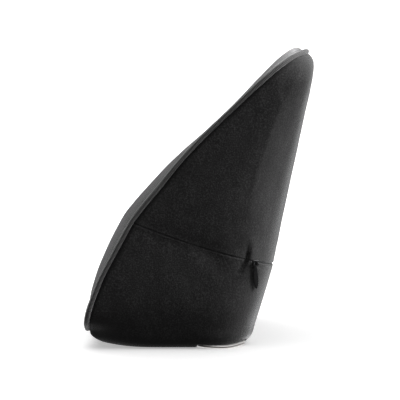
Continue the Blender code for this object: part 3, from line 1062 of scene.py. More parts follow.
@dataclass
class CareLabel:
    """The blank care label: one strip folded over, cupped, and pressed flat in its middle.

    Sizes are in millimetres. The strip runs from start to end in x, with its fold at fold_y and its
    edges near edge_y. Cup is how far its two ends rise, and sweep how far they swing back.
    """

    start: float = 22.0
    end: float = 68.0
    low: float = 44.0
    fold_y: float = -134.0
    edge_y: float = -157.5
    step_back: float = 2.2
    leaf: float = 0.55
    total: float = 2.7
    cup: tuple[float, float] = (0.6, 3.4)
    sweep: tuple[float, float] = (17.0, 11.0)
    wave: float = 0.22
    wave_length: float = 5.2
    wave_from: float = 30.0
    wave_ease: float = 14.0
    press: float = 0.25
    edge_round: float = 0.12
    columns: int = 46
    leaf_steps: int = 10
    fold_steps: int = 8

    def bend(self, x: float, ends: tuple[float, float]) -> float:
        """A bend along the label: nothing at its lowest point, most at its two ends.

        Args:
            x: The place.
            ends: The bend at the start and at the end.

        Returns:
            The bend there.
        """
        if x < self.low:
            return ends[0] * ((self.low - x) / (self.low - self.start)) ** 2
        return ends[1] * ((x - self.low) / (self.end - self.low)) ** 2

    def section(self, x: float) -> list[Vector]:
        """The strip's middle line, from its lower edge round the fold to its upper edge.

        Args:
            x: Where the strip is cut.

        Returns:
            The line's points in metres.
        """
        lift, edge = self.bend(x, self.cup), self.edge_y + self.bend(x, self.sweep)
        low, high = self.leaf / 2, self.total - self.leaf / 2
        radius = (high - low) / 2
        wave = self.wave * math.sin(x / self.wave_length) * smooth((x - self.wave_from) / self.wave_ease)
        steps = self.leaf_steps
        out = [(edge + (self.fold_y - edge) * k / steps, low) for k in range(steps)]
        for k in range(self.fold_steps + 1):
            turn = math.pi * k / self.fold_steps
            out.append((self.fold_y + radius * math.sin(turn), low + radius - radius * math.cos(turn)))
        upper = edge + self.step_back
        for k in range(1, steps + 1):
            share = k / steps
            out.append((self.fold_y + (upper - self.fold_y) * share, high + (wave - self.press) * share))
        return [Vector((x, y, z + lift)) * MM for y, z in out]

    def build(self, finish: LabelSatin) -> bpy.types.Object:
        """Make the label.

        Args:
            finish: Its satin.

        Returns:
            The finished piece.
        """
        bm = bmesh.new()
        rows = []
        for k in range(self.columns + 1):
            x = self.start + (self.end - self.start) * k / self.columns
            rows.append([bm.verts.new(p) for p in self.section(x)])
        for a, b in zip(rows, rows[1:]):
            for j in range(len(a) - 1):
                bm.faces.new((a[j], b[j], b[j + 1], a[j + 1]))
        obj = Bench.from_bmesh("care_label_satin", bm)
        Bench.apply_modifier(obj, "SOLIDIFY", thickness=self.leaf * MM, offset=0.0)
        Bench.apply_modifier(obj, "BEVEL", width=self.edge_round * MM, segments=2, limit_method="ANGLE",
                             angle_limit=math.radians(60.0))
        Bench.face_outwards(obj)
        low = min(v.co.z for v in obj.data.vertices)
        obj.data.transform(Matrix.Translation((0.0, 0.0, -low)))
        Bench.finish(obj, finish.build(), Slot.LABEL, ["care_label"])
        return obj


@dataclass
class Cover:
    """The padded velour cover as one closed form, with its seams sunk and puckered.

    Sizes are in millimetres. A pair such as welt_pin is where an easing starts and how far it runs,
    counted from the welt, the zip or the floor. A dent is its depth, its lengths along the pillow
    and upwards, and its offsets in x and z.
    """

    form: PillowForm
    welt: Track
    zip: Track
    label: CareLabel
    row_scale: float = 32.0
    zip_points: int = 1800
    puff_frames: int = 20
    puff_quality: int = 4
    point_mass: float = 0.25
    pressure: float = 4.0
    stiffness: float = 18.0
    shear: float = 6.0
    bending: float = 0.6
    puff_cap_mm: float = 1.8
    back_share: float = 0.18
    back_reach: float = 22.0
    welt_pin: tuple[float, float] = (4.0, 14.0)
    zip_pin: tuple[float, float] = (2.0, 7.0)
    floor_pin: tuple[float, float] = (1.0, 14.0)
    roll_at: tuple[float, float] = (2.2, 5.0)
    roll_fade: tuple[float, float] = (8.0, 20.0)
    roll_front: float = 0.3
    roll_side: float = 0.5
    groove_mm: float = 1.6
    groove_at: tuple[float, float] = (1.8, 2.4)
    stitch_mm: float = 3.0
    stitch_deep: float = 0.65
    stitch_even: float = 0.75
    stitch_uneven: float = 1.1
    lip_mm: float = 0.5
    lip_width: float = 3.0
    slit_width: float = 0.8
    teeth_from: float = 79.0
    teeth_ease: float = 3.0
    # Strength of the painted shade along the closed zip's slit past the slider.
    zip_painted_shade: float = 0.85
    teeth_deep: float = 1.5
    # Width of that painted shade beside the zip line, in millimetres.
    zip_shade_width: float = 1.1
    pucker_mm: float = 0.42
    pucker_length_mm: float = 8.5
    pucker_reach: float = 26.0
    pucker_fade: float = 7.0
    pucker_start: float = 1.6
    pucker_spread: float = 30.0
    fine_share: float = 0.6
    fine_repeats: float = 2.3
    fine_spread: float = 18.0
    fine_seed: float = 4.0
    welt_seed: float = 3.1
    zip_seed: float = 7.7
    welt_edge: float = 2.5
    dents: tuple[tuple[float, float, float, float, float], ...] = (
        (0.40, 34.0, 34.0, 0.0, 5.0), (0.12, 11.0, 15.0, 9.0, 0.0))
    foot_ease: float = 6.0
    # Where the painted shade beside the welt starts, and how far it runs, from the welt.
    painted_seam_shade_at: tuple[float, float] = (3.0, 3.6)
    room_side: float = 12.0
    room_air: float = 0.8
    room_behind: float = 2.0
    room_left: float = 4.0
    room_ease: float = 9.0
    folds_to: float = -110.0
    folds: tuple[Fold, ...] = (
        Fold(((71.4, 103.0), (70.3, 93.0), (68.8, 86.0), (62.2, 75.0)), -3.2, 1.9, step=3.6, run=8.0),
        Fold(((119.0, 266.0), (112.6, 254.9), (100.0, 231.4), (92.0, 210.0), (81.0, 178.0),
              (74.0, 150.0), (70.0, 118.0)), 0.3, 3.0, drop=3.8, run=20.0, end_fade=22.0),
        Fold(((20.0, 100.0), (34.0, 92.0), (44.0, 78.0)), -0.4, 6.0, 0.2),
    )

    def cage(self) -> bpy.types.Object:
        """The coarse cage with a crease along the front seam.

        Returns:
            The cage as an object, in metres.
        """
        bm = bmesh.new()
        crease = bm.edges.layers.float.new("crease_edge")
        group = bm.verts.layers.deform.verify()
        rows = [[bm.verts.new(p * MM) for p in row] for row in self.form.rows()]
        for k, row in enumerate(rows):
            for j, vert in enumerate(row):
                vert[group][0] = k / self.row_scale
                vert[group][1] = 1.0 if j < self.form.far_corner else 0.0
        count = len(rows[0])
        for lower, upper in zip(rows, rows[1:]):
            for k in range(count):
                after = (k + 1) % count
                bm.faces.new((lower[k], lower[after], upper[after], upper[k]))
        bm.faces.new(list(reversed(rows[0])))
        self.close_top(bm, rows[-1])
        first, far = 1 + self.form.foot_steps, self.form.far_corner - 1
        seam = []
        for a, b in zip(rows[first:], rows[first + 1 :]):
            seam += [(a[0], b[0]), (a[far], b[far])]
        for row in (rows[first], rows[-1]):
            run = row[far:] + [row[0]]
            seam += list(zip(run, run[1:]))
        for pair in seam:
            bm.edges.get(pair)[crease] = 1.0
        bmesh.ops.recalc_face_normals(bm, faces=bm.faces[:])
        obj = Bench.from_bmesh("cover", bm)
        for name in ("row", "boxing"):
            obj.vertex_groups.new(name=name)
        return obj

    def close_top(self, bm: bmesh.types.BMesh, loop: list[bmesh.types.BMVert]) -> None:
        """Bridge the narrow top level from its front row to its back row.

        Args:
            bm: The cage.
            loop: Its top ring.
        """
        side, around = self.form.side_count, self.form.far_corner
        near, far = loop[:side], loop[around - side : around]
        rear, front = loop[side : around - side], list(reversed(loop[around:]))
        for (a, c), (b, d) in zip(zip(front, rear), zip(front[1:], rear[1:])):
            bm.faces.new((a, b, d, c))
        bm.faces.new(near + [rear[0], front[0]])
        bm.faces.new([rear[-1]] + far + [front[-1]])

    def pin_weight(self, point: Vector) -> float:
        """How firmly the puffing holds a point.

        Args:
            point: A point of the cover, in metres.

        Returns:
            1 on the seams and on the flat bottom, down to 0 away from them.
        """
        gaps = (self.welt.near(point)[0], self.zip.near(point)[0], point.z)
        reaches = (self.welt_pin, self.zip_pin, self.floor_pin)
        return max(1 - smooth((gap / MM - begin) / run) for gap, (begin, run) in zip(gaps, reaches))

    def puff(self, obj: bpy.types.Object) -> None:
        """Blow the cover up a little between its seams with a cloth simulation.

        Args:
            obj: The cover, which gets the result.
        """
        mesh = obj.data
        start = np.array([v.co[:] for v in mesh.vertices])
        group = obj.vertex_groups.new(name="held")
        for v in mesh.vertices:
            group.add([v.index], self.pin_weight(v.co), "REPLACE")
        cloth = obj.modifiers.new("puff", "CLOTH")
        settings = cloth.settings
        settings.quality = self.puff_quality
        settings.mass = self.point_mass
        settings.tension_stiffness = settings.compression_stiffness = self.stiffness
        settings.shear_stiffness = self.shear
        settings.bending_stiffness = self.bending
        settings.use_pressure = True
        settings.uniform_pressure_force = self.pressure
        settings.vertex_group_mass = group.name
        settings.effector_weights.gravity = 0.0
        cloth.collision_settings.use_collision = False
        scene = bpy.context.scene
        for step in range(1, self.puff_frames + 1):
            scene.frame_set(step)
        graph = bpy.context.evaluated_depsgraph_get()
        puffed = obj.evaluated_get(graph).to_mesh()
        moved = np.array([v.co[:] for v in puffed.vertices]) - start
        obj.evaluated_get(graph).to_mesh_clear()
        obj.modifiers.remove(cloth)
        obj.vertex_groups.remove(group)
        scene.frame_set(1)
        far = np.linalg.norm(moved, axis=1)
        LOG.info("puff: moved up to %.1f mm before the cap", far.max() / MM)
        cap = self.puff_cap_mm * MM * self.puff_share(start)
        held = cap * np.tanh(far / np.maximum(cap, 1e-6))
        scale = np.where(far > 1e-9, held / np.maximum(far, 1e-9), 0.0)
        mesh.vertices.foreach_set("co", (start + moved * scale[:, None]).ravel())
        mesh.update()

    def puff_share(self, points: np.ndarray) -> np.ndarray:
        """Share of the cap at each point: the straight back stays nearly flat.

        Args:
            points: Points of the cover, in metres, one a row.

        Returns:
            The shares.
        """
        back = self.form.back_x0 + (points[:, 2] / MM - self.form.back_at) * self.form.back_slope
        depth = back - points[:, 0] / MM
        return np.clip(depth / self.back_reach, self.back_share, 1.0)

    def follow_zip_row(self, obj: bpy.types.Object) -> None:
        """Move the zip's track to the row of points that the smoothed cover has along its groove.

        Args:
            obj: The cover, with its row and boxing groups.
        """
        wanted = (1 + self.form.foot_steps + self.form.seam_level) / self.row_scale
        found = []
        for v in obj.data.vertices:
            weights = {g.group: g.weight for g in v.groups}
            if abs(weights.get(0, 0.0) - wanted) < 0.01 / self.row_scale and weights.get(1, 0.0) > 0.99:
                found.append((self.zip.near(v.co)[1], v.co.copy()))
        found.sort(key=lambda pair: pair[0])
        LOG.info("zip row: %d points", len(found))
        self.zip = Track(even_line([p for _, p in found], self.zip_points, closed=False))

    def ripple(self, gap: float, run: float, seed: float) -> float:
        """Small puckers beside a seam.

        Args:
            gap: Distance from the seam in millimetres.
            run: Place along it in metres.
            seed: Which seam it is.

        Returns:
            How far the cover moves outwards, in millimetres.
        """
        if gap > self.pucker_reach:
            return 0.0
        along, away = run / (self.pucker_length_mm * MM), max(0.0, gap)
        wave = noise.noise(Vector((along, seed, gap / self.pucker_spread)))
        fine = Vector((along * self.fine_repeats, seed + self.fine_seed, gap / self.fine_spread))
        wave += self.fine_share * noise.noise(fine)
        begin = 1 - math.exp(-away / self.pucker_start)
        return self.pucker_mm * wave * math.exp(-away / self.pucker_fade) * begin

    def relief(self, point: Vector, boxing: float) -> float:
        """Fine relief of the cover at a point: seam rolls, puckers and soft dents.

        Args:
            point: A point of the cover, in metres.
            boxing: 1 on the sides and back, 0 on the front panel.

        Returns:
            How far it moves outwards, in millimetres.
        """
        x, y, z = (c / MM for c in point)
        welt_gap, welt_run, _ = self.welt.near(point)
        zip_gap, zip_run, _ = self.zip.near(point)
        welt_gap, zip_gap = welt_gap / MM, zip_gap / MM
        roll = smooth((welt_gap - self.roll_at[0]) / self.roll_at[1])
        roll *= math.exp(-max(0.0, welt_gap - self.roll_fade[0]) / self.roll_fade[1])
        lift = roll * (self.roll_front + self.roll_side * boxing)
        groove = math.exp(-(((welt_gap - self.groove_at[0]) / self.groove_at[1]) ** 2))
        lift -= self.groove_mm * (1 - boxing) * groove
        uneven = noise.noise(Vector((zip_run / (self.stitch_mm * MM), 2.0, 0.0)))
        stitch = max(0.0, self.stitch_even + self.stitch_uneven * uneven)
        lift += self.lip_mm * math.exp(-((zip_gap / self.lip_width) ** 2))
        slit = self.stitch_deep * stitch + self.teeth_deep * self.past_slider(x)
        lift -= slit * math.exp(-((zip_gap / self.slit_width) ** 2))
        lift += self.ripple(welt_gap - self.welt_edge, welt_run, self.welt_seed)
        lift += self.ripple(zip_gap, zip_run, self.zip_seed)
        for depth, length, tall, ahead, above in self.dents:
            lift += depth * noise.noise(Vector((x / length + ahead, y / length, z / tall + above)))
        return lift * smooth(z / self.foot_ease)

    def past_slider(self, x: float) -> float:
        """1 where the closed zip lies behind the slider, 0 on the plain seam before it."""
        return smooth((x - self.teeth_from) / self.teeth_ease)

    def add_relief(self, obj: bpy.types.Object) -> None:
        """Move the cover's points by its relief, and keep the bottom on the floor.

        Args:
            obj: The cover, with its boxing group. It gets the attribute that carries the painted seam
                shade.
        """
        mesh = obj.data
        painted_seam_shade = mesh.attributes.new("painted_seam_shade", "FLOAT", "POINT")
        places = np.empty((len(mesh.vertices), 3))
        for k, v in enumerate(mesh.vertices):
            boxing = next((g.weight for g in v.groups if g.group == 1), 0.0)
            places[k] = v.co + v.normal * (self.relief(v.co, boxing) * MM)
            if v.co.y < self.folds_to * MM:
                places[k, 1] -= sum(fold.lift(v.co.x / MM, v.co.z / MM) for fold in self.folds) * MM
            places[k, 2] = max(0.0, places[k, 2], self.label_room(places[k]))
            # Painted shade: the base colour is darkened in the groove beside the welt on the sides and
            # back, and along the closed zip's slit past the slider.
            beside = (self.welt.near(v.co)[0] / MM - self.painted_seam_shade_at[0]) / self.painted_seam_shade_at[1]
            zip_slit_shade = math.exp(-((self.zip.near(v.co)[0] / (self.zip_shade_width * MM)) ** 2))
            zip_slit_shade *= self.zip_painted_shade * self.past_slider(v.co.x / MM)
            painted_seam_shade.data[k].value = max((1 - smooth(beside)) * boxing, zip_slit_shade)
        mesh.vertices.foreach_set("co", places.ravel())
        mesh.update()
        obj.vertex_groups.clear()

    def label_room(self, place: np.ndarray) -> float:
        """Height that the cover keeps over the care label.

        Args:
            place: A point of the cover, in metres.

        Returns:
            The least height there, in metres.
        """
        x, y = place[0] / MM, place[1] / MM
        if y > self.label.fold_y + self.room_side or y < self.label.edge_y - self.room_side:
            return 0.0
        beside = max((self.label.start - x) * self.room_left, x - self.label.end,
                     y - self.label.fold_y - self.room_behind, 0.0)
        inside = min(max(x, self.label.start), self.label.end)
        height = self.label.total + self.room_air + self.label.bend(inside, self.label.cup)
        return height * (1 - smooth(beside / self.room_ease)) * MM

    def build(self, finish: Velour) -> bpy.types.Object:
        """Make the cover.

        Args:
            finish: Its velour.

        Returns:
            The finished piece.
        """
        obj = self.cage()
        Bench.subdivide(obj, 2)
        self.puff(obj)
        Bench.subdivide(obj, 1)
        self.follow_zip_row(obj)
        self.add_relief(obj)
        Bench.finish(obj, finish.build(), Slot.COVER, ["cushion"], 75.0)
        return obj


@dataclass
class Welt:
    """The covered cord round the front panel."""

    line: list[Vector]
    front: Vector
    radius_mm: float = 2.7
    sides: int = 16
    upright: tuple[float, float, float] = (0.3, 0.0, 1.0)
    swell: float = 0.035
    swell_repeats: float = 70.0
    # Where the painted highlight starts on the side turned to the front, and how far it eases in.
    painted_highlight_from: float = 0.35
    painted_highlight_ease: float = 0.4

    def build(self, finish: WeltVelour) -> bpy.types.Object:
        """Sweep the cord along its line, with a UV map in metres.

        Args:
            finish: Its velour.

        Returns:
            The finished piece.
        """
        bm = bmesh.new()
        uv = bm.loops.layers.uv.new("along")
        painted_highlight = bm.verts.layers.float.new("painted_highlight")
        count = len(self.line)
        rings, run = [], [0.0]
        for k, p in enumerate(self.line):
            along = (self.line[(k + 1) % count] - self.line[k - 1]).normalized()
            side = along.cross(Vector(self.upright).normalized())
            if side.length <= 0.2:
                side = along.cross(Vector((1.0, 0.0, 0.0)))
            side.normalize()
            up = side.cross(along).normalized()
            swell = 1 + self.swell * noise.noise(p * self.swell_repeats)
            ring = []
            for j in range(self.sides):
                turn = 2 * math.pi * j / self.sides
                out = side * math.cos(turn) + up * math.sin(turn)
                vert = bm.verts.new(p + out * (self.radius_mm * MM * swell))
                # Painted highlight: the side of the cord turned to the front is marked for a paler
                # colour.
                vert[painted_highlight] = smooth((out.dot(self.front) - self.painted_highlight_from) / self.painted_highlight_ease)
                ring.append(vert)
            rings.append(ring)
            run.append(run[-1] + (self.line[(k + 1) % count] - p).length)
        arc = 2 * math.pi * self.radius_mm * MM / self.sides
        for k in range(count):
            a, b = rings[k], rings[(k + 1) % count]
            twist = self.nearest(a[0], b)
            for j in range(self.sides):
                after = (j + 1) % self.sides
                face = bm.faces.new(
                    (a[j], a[after], b[(after + twist) % self.sides], b[(j + twist) % self.sides]))
                spots = ((k, j), (k, j + 1), (k + 1, j + 1), (k + 1, j))
                for loop, (step, turn) in zip(face.loops, spots):
                    loop[uv].uv = (run[step], turn * arc)
        bmesh.ops.recalc_face_normals(bm, faces=bm.faces[:])
        obj = Bench.from_bmesh("welt_cord", bm)
        Bench.finish(obj, finish.build(), Slot.WELT, ["welt"])
        return obj

    @staticmethod
    def nearest(vert: bmesh.types.BMVert, ring: list[bmesh.types.BMVert]) -> int:
        """Index of the ring's point nearest to this one."""
        return min(range(len(ring)), key=lambda j: (ring[j].co - vert.co).length)


@dataclass
class ZipEnd:
    """The zip's slider on the near rear corner, and the leaf that hangs from its arch.

    Sizes are in millimetres, and leaf is a table of the distance below the eye and the half-width.
    """

    turn: float = math.radians(33.0)
    place_mm: tuple[float, float, float] = (77.6, -161.2, 84.2)
    long: float = 7.8
    tall: float = 5.8
    inner: float = -2.0
    face: float = 1.2
    arch_leg: float = 1.9
    arch_bar: float = 0.55
    arch_top: float = 4.3
    eye_hole: float = 1.55
    eye_rim: float = 2.8
    eye_drop: float = 0.25
    leaf_near: float = 1.6
    leaf_thick: float = 1.1
    leaf_edge: float = 0.3
    corner: float = 0.9
    rail: float = 0.55
    rail_deep: float = 0.35
    mouth: float = 0.3
    mouth_taper: float = 0.86
    face_area: float = 4.0
    arch_root: float = 0.5
    arch_sides: int = 10
    arch_steps: int = 12
    eye_sides: int = 24
    eye_low: float = 0.84
    row_flat: float = 0.55
    lean: float = math.radians(-13.0)
    settle: float = math.radians(13.8)
    leaf: tuple[tuple[float, float], ...] = (
        (3.6, 1.55), (5.5, 1.6), (7.5, 1.85), (9.5, 2.15), (12.0, 2.45), (14.5, 2.6), (17.0, 2.6),
        (19.5, 2.45), (21.8, 2.15), (24.0, 1.65), (25.6, 1.05), (26.6, 0.45),
    )

    def frame(self) -> Matrix:
        """From the slider's own frame (x along the zip, -y out of the cover) to the part's."""
        spot = Vector(self.place_mm) * MM
        return Matrix.Translation(spot) @ Matrix.Rotation(self.turn, 4, "Z")

    def eye_place(self) -> tuple[float, float, float]:
        """Middle of the puller's eye on the slider's face, in metres."""
        spot = self.frame() @ Vector((-self.arch_leg * MM, -self.face * MM, -self.eye_drop * MM))
        return spot.x, spot.y, spot.z

    def build_slider(self, finish: BlackLacquer) -> bpy.types.Object:
        """Model the slider: a plate with rounded corners and rails, and its arch.

        Args:
            finish: Its lacquer.

        Returns:
            The finished piece.
        """
        Bench.clear()
        deep = (self.face - self.inner) * MM
        middle = -(self.face + self.inner) / 2 * MM
        bpy.ops.mesh.primitive_cube_add(size=1.0, location=(0.0, middle, 0.0))
        body = bpy.context.object
        body.name = "zip_slider_body"
        body.scale = (self.long * MM, deep, self.tall * MM)
        bpy.ops.object.transform_apply(location=True, rotation=False, scale=True)
        bpy.ops.object.mode_set(mode="EDIT")
        bpy.ops.mesh.select_all(action="SELECT")
        bpy.ops.mesh.bevel(offset=self.corner * MM, segments=4, affect="EDGES")
        broad = self.face_area * MM * MM
        if Bench.select("FACE", lambda f: f.normal.y < -0.99 and f.calc_area() > broad):
            bpy.ops.mesh.inset(thickness=self.rail * MM)
            bpy.ops.mesh.extrude_region_move(
                TRANSFORM_OT_translate={"value": (0.0, self.rail_deep * MM, 0.0)})
        if Bench.select("FACE", lambda f: abs(f.normal.z) > 0.99):
            bpy.ops.mesh.inset(thickness=self.mouth * MM)
            bpy.ops.transform.resize(value=(1.0, 1.0, self.mouth_taper))
        bpy.ops.object.mode_set(mode="OBJECT")
        arch = self.build_arch()
        Bench.clear()
        arch.select_set(True)
        body.select_set(True)
        bpy.context.view_layer.objects.active = body
        bpy.ops.object.join()
        Bench.place(body, self.frame())
        Bench.finish(body, finish.build(), Slot.ZIP, ["zip_slider"], 35.0)
        return body

    def build_arch(self) -> bpy.types.Object:
        """Spin a round section into the arch that holds the puller.

        Returns:
            The arch, in the slider's own frame.
        """
        Bench.clear()
        foot = -(self.face - self.arch_root) * MM
        bpy.ops.mesh.primitive_circle_add(
            vertices=self.arch_sides, radius=self.arch_bar * MM, fill_type="NGON",
            location=(self.arch_leg * MM, foot, 0.0), rotation=(math.pi / 2, 0.0, 0.0))
        arch = bpy.context.object
        bpy.ops.object.transform_apply(location=True, rotation=True, scale=True)
        rise = (self.arch_top - self.arch_bar - self.arch_leg - self.face + self.arch_root) * MM
        bpy.ops.object.mode_set(mode="EDIT")
        bpy.ops.mesh.select_all(action="SELECT")
        bpy.ops.mesh.extrude_region_move(TRANSFORM_OT_translate={"value": (0.0, -rise, 0.0)})
        bpy.ops.mesh.spin(steps=self.arch_steps, angle=math.pi, center=(0.0, foot - rise, 0.0),
                          axis=(0.0, 0.0, 1.0))
        bpy.ops.mesh.extrude_region_move(TRANSFORM_OT_translate={"value": (0.0, rise, 0.0)})
        bpy.ops.mesh.select_all(action="SELECT")
        bpy.ops.mesh.remove_doubles(threshold=0.01 * MM)
        bpy.ops.mesh.normals_make_consistent(inside=False)
        bpy.ops.object.mode_set(mode="OBJECT")
        return arch

    def build_puller(self, finish: BlackLacquer) -> bpy.types.Object:
        """Model the leaf: a ring for its eye, extruded downwards section by section.

        Args:
            finish: Its lacquer.

        Returns:
            The finished piece.
        """
        Bench.clear()
        for radius in (self.eye_rim, self.eye_hole):
            bpy.ops.mesh.primitive_circle_add(
                vertices=self.eye_sides, radius=radius * MM, location=(0.0, 0.0, 0.0),
                rotation=(math.pi / 2, 0.0, 0.0))
            if radius == self.eye_rim:
                leaf = bpy.context.object
        leaf.select_set(True)
        bpy.context.view_layer.objects.active = leaf
        bpy.ops.object.join()
        leaf.name = "zip_puller_leaf"
        bpy.ops.object.transform_apply(location=True, rotation=True, scale=True)
        bpy.ops.object.mode_set(mode="EDIT")
        bpy.ops.mesh.select_all(action="SELECT")
        bpy.ops.mesh.bridge_edge_loops()
        under = -self.eye_low * self.eye_rim * MM
        Bench.select("EDGE", lambda e: all(v.co.z < under for v in e.verts))
        reached = self.eye_rim
        for down, half in self.leaf:
            bpy.ops.mesh.extrude_edges_move(
                TRANSFORM_OT_translate={"value": (0.0, 0.0, -(down - reached) * MM)})
            self.level_edge(-down * MM, half * MM)
            reached = down
        bpy.ops.object.mode_set(mode="OBJECT")
        Bench.apply_modifier(leaf, "SOLIDIFY", thickness=self.leaf_thick * MM, offset=0.0)
        Bench.apply_modifier(leaf, "BEVEL", width=self.leaf_edge * MM, segments=3, limit_method="ANGLE",
                             angle_limit=math.radians(50.0))
        Bench.face_outwards(leaf)
        depth = -(self.leaf_near + self.leaf_thick / 2) * MM
        hang = Matrix.Translation((-self.arch_leg * MM, depth, -self.eye_drop * MM))
        tilt = Matrix.Rotation(self.settle, 4, "X") @ Matrix.Rotation(self.lean, 4, "Y")
        Bench.place(leaf, self.frame() @ hang @ tilt)
        Bench.finish(leaf, finish.build(), Slot.ZIP, ["zip_puller"], 40.0)
        return leaf

    def level_edge(self, height: float, half: float) -> None:
        """Bring the selected row of points to a height and a half-width, and flatten it a little.

        Args:
            height: The height in metres.
            half: The half-width in metres.
        """
        bm = bmesh.from_edit_mesh(bpy.context.object.data)
        row = [v for v in bm.verts if v.select]
        wide = max(abs(v.co.x) for v in row)
        middle = sum(v.co.z for v in row) / len(row)
        bpy.ops.transform.resize(value=(half / wide, 1.0, self.row_flat),
                                 center_override=(0.0, 0.0, middle))
        bpy.ops.transform.translate(value=(0.0, 0.0, height - middle))


@dataclass(frozen=True)
class ViewCamera:
    """The photograph's view: straight at the near side, a little from above."""

    aim: tuple[float, float, float] = (0.024, -0.170, 0.1454)
    distance: float = 1.43
    pitch: float = math.radians(2.0)
    focal_pixels: float = 1490.0
    image_pixels: float = 400.0
    sensor_mm: float = 36.0
    clip_end: float = 60.0

    def build(self) -> bpy.types.Object:
        """Make the camera and set it as the scene's.

        Returns:
            The camera.
        """
        data = bpy.data.cameras.new("view")
        data.sensor_width = self.sensor_mm
        data.lens = self.focal_pixels / self.image_pixels * self.sensor_mm
        data.clip_end = self.clip_end
        camera = bpy.data.objects.new("view", data)
        back = Vector((0.0, -math.cos(self.pitch), math.sin(self.pitch))) * self.distance
        camera.location = Vector(self.aim) + back
        camera.rotation_euler = (math.pi / 2 - self.pitch, 0.0, 0.0)
        bpy.context.scene.collection.objects.link(camera)
        bpy.context.scene.camera = camera
        return camera


@dataclass(frozen=True)
class SoftLight:
    """A soft box: where it stands, what it looks at, its size and its power."""

    name: str
    place: tuple[float, float, float]
    look_at: tuple[float, float, float]
    size: float
    power: float
    reach: Reach = Reach.PART

    def build(self, reached: dict[Reach, bpy.types.Collection]) -> None:
        """Make the light.

        Args:
            reached: The objects that each kind of light shines on.
        """
        data = bpy.data.lights.new(self.name, "AREA")
        data.shape = "SQUARE"
        data.size = self.size
        data.energy = self.power
        light = bpy.data.objects.new(self.name, data)
        light.location = self.place
        away = Vector(self.look_at) - Vector(self.place)
        light.rotation_euler = away.to_track_quat("-Z", "Y").to_euler()
        light.light_linking.receiver_collection = reached[self.reach]
        bpy.context.scene.collection.objects.link(light)


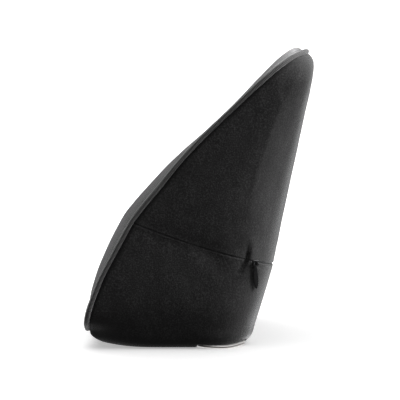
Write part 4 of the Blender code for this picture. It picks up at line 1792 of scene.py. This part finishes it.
@dataclass(frozen=True)
class Studio:
    """White floor that curves up into a backdrop, a pale sky and a few soft boxes."""

    floor_half: float = 7.0
    wall_y: float = 5.0
    wall_height: float = 5.0
    bend: float = 1.2
    bend_steps: int = 8
    sky: float = 0.20
    lights: tuple[SoftLight, ...] = (
        SoftLight("right", (2.0, -0.35, 1.7), (0.08, -0.05, 0.18), 0.9, 260.0),
        SoftLight("right_low", (1.9, -0.25, 0.45), (0.08, -0.05, 0.12), 0.6, 50.0),
        SoftLight("right_back", (1.7, 0.7, 1.3), (0.08, 0.0, 0.18), 0.8, 60.0),
        SoftLight("left_back", (-1.2, 2.0, 1.6), (0.0, 0.0, 0.2), 0.8, 7.0),
        SoftLight("left", (-1.2, -0.35, 2.0), (0.0, 0.0, 0.2), 0.5, 6.0),
        SoftLight("fill", (-0.3, -2.6, 1.2), (0.0, 0.0, 0.15), 1.4, 1.0),
        SoftLight("front", (0.2, -2.4, 0.9), (0.05, -0.15, 0.0), 0.8, 45.0, Reach.LABEL),
        SoftLight("overhead", (0.0, 0.0, 3.0), (0.0, 0.0, 0.0), 5.0, 110.0, Reach.STAGE),
        SoftLight("backdrop", (0.0, 2.2, 3.4), (0.0, 5.0, 1.0), 3.0, 150.0, Reach.STAGE),
    )

    def build_floor(self) -> bpy.types.Object:
        """Make the floor with the backdrop that it curves up into.

        Returns:
            The floor.
        """
        bm = bmesh.new()
        profile = [(-self.floor_half, 0.0), (self.wall_y - self.bend, 0.0)]
        for k in range(1, self.bend_steps + 1):
            turn = math.pi / 2 * k / self.bend_steps
            out, up = self.bend * math.sin(turn), self.bend * math.cos(turn)
            profile.append((self.wall_y - self.bend + out, self.bend - up))
        profile.append((self.wall_y, self.wall_height))
        sides = (-self.floor_half, self.floor_half)
        left, right = ([bm.verts.new((x, y, z)) for y, z in profile] for x in sides)
        for j in range(len(profile) - 1):
            bm.faces.new((left[j], right[j], right[j + 1], left[j + 1]))
        floor = Bench.from_bmesh("studio_floor", bm)
        floor.data.materials.append(StudioPaper().build())
        for polygon in floor.data.polygons:
            polygon.use_smooth = True
        return floor

    def build(self, pieces: list[bpy.types.Object], beneath: bpy.types.Object) -> None:
        """Make the floor, the sky and the lights.

        Args:
            pieces: The part's pieces.
            beneath: The piece on the floor, which takes the floor's light.
        """
        floor = self.build_floor()
        world = bpy.data.worlds.new("studio_sky")
        world.use_nodes = True
        sky = world.node_tree.nodes["Background"]
        sky.inputs["Color"].default_value = (1.0, 1.0, 1.0, 1.0)
        sky.inputs["Strength"].default_value = self.sky
        bpy.context.scene.world = world
        bpy.context.scene.view_settings.view_transform = "Standard"
        reached = {reach: bpy.data.collections.new(f"{reach.value}_lit") for reach in Reach}
        reached[Reach.LABEL].objects.link(beneath)
        for piece in (floor, beneath):
            reached[Reach.STAGE].objects.link(piece)
        for piece in pieces:
            reached[Reach.PART].objects.link(piece)
        for light in self.lights:
            light.build(reached)


def welt_line(form: PillowForm, stand_mm: float = 1.3, ahead: float = 0.6, aside: float = 0.8,
              count: int = 640) -> list[Vector]:
    """The welt's centre line, a little outside the front seam.

    Args:
        form: The pillow's form.
        stand_mm: How far the cord's centre lies outside the seam.
        ahead: Share of that in front of the seam.
        aside: Share of it beside the seam, away from the front panel.
        count: How many points the line has.

    Returns:
        Points of a closed line, in metres.
    """
    loop = form.front_loop()
    points = [p for p, _ in loop]
    line = []
    for k, (p, normal) in enumerate(loop):
        along = (points[(k + 1) % len(points)] - points[k - 1]).normalized()
        sideways = along.cross(normal).normalized()
        line.append((p + (normal * ahead - sideways * aside) * stand_mm) * MM)
    return even_line(line, count, closed=True)


def main() -> None:
    """Build the pillow's pieces in order, then the studio."""
    logging.basicConfig(level=logging.INFO, format="%(name)s %(message)s")
    ViewCamera().build()
    form = PillowForm()
    cord = welt_line(form)
    seam = [p * MM for p in form.zip_line()]
    label, end = CareLabel(), ZipEnd()
    cover = Cover(form, Track(cord + cord[:1]), Track(even_line(seam, SEAM_POINTS, closed=False)), label)
    pieces = [
        cover.build(Velour()),
        Welt(cord, form.front_normal(len(LEVELS) // 2)).build(WeltVelour()),
        # The slider's lacquer gets a painted highlight behind the puller's eye.
        end.build_slider(BlackLacquer("zip_black_lacquer_glint", painted_glint_at=end.eye_place())),
        end.build_puller(BlackLacquer()),
    ]
    Studio().build(pieces, label.build(LabelSatin()))


if __name__ == "__main__":
    main()
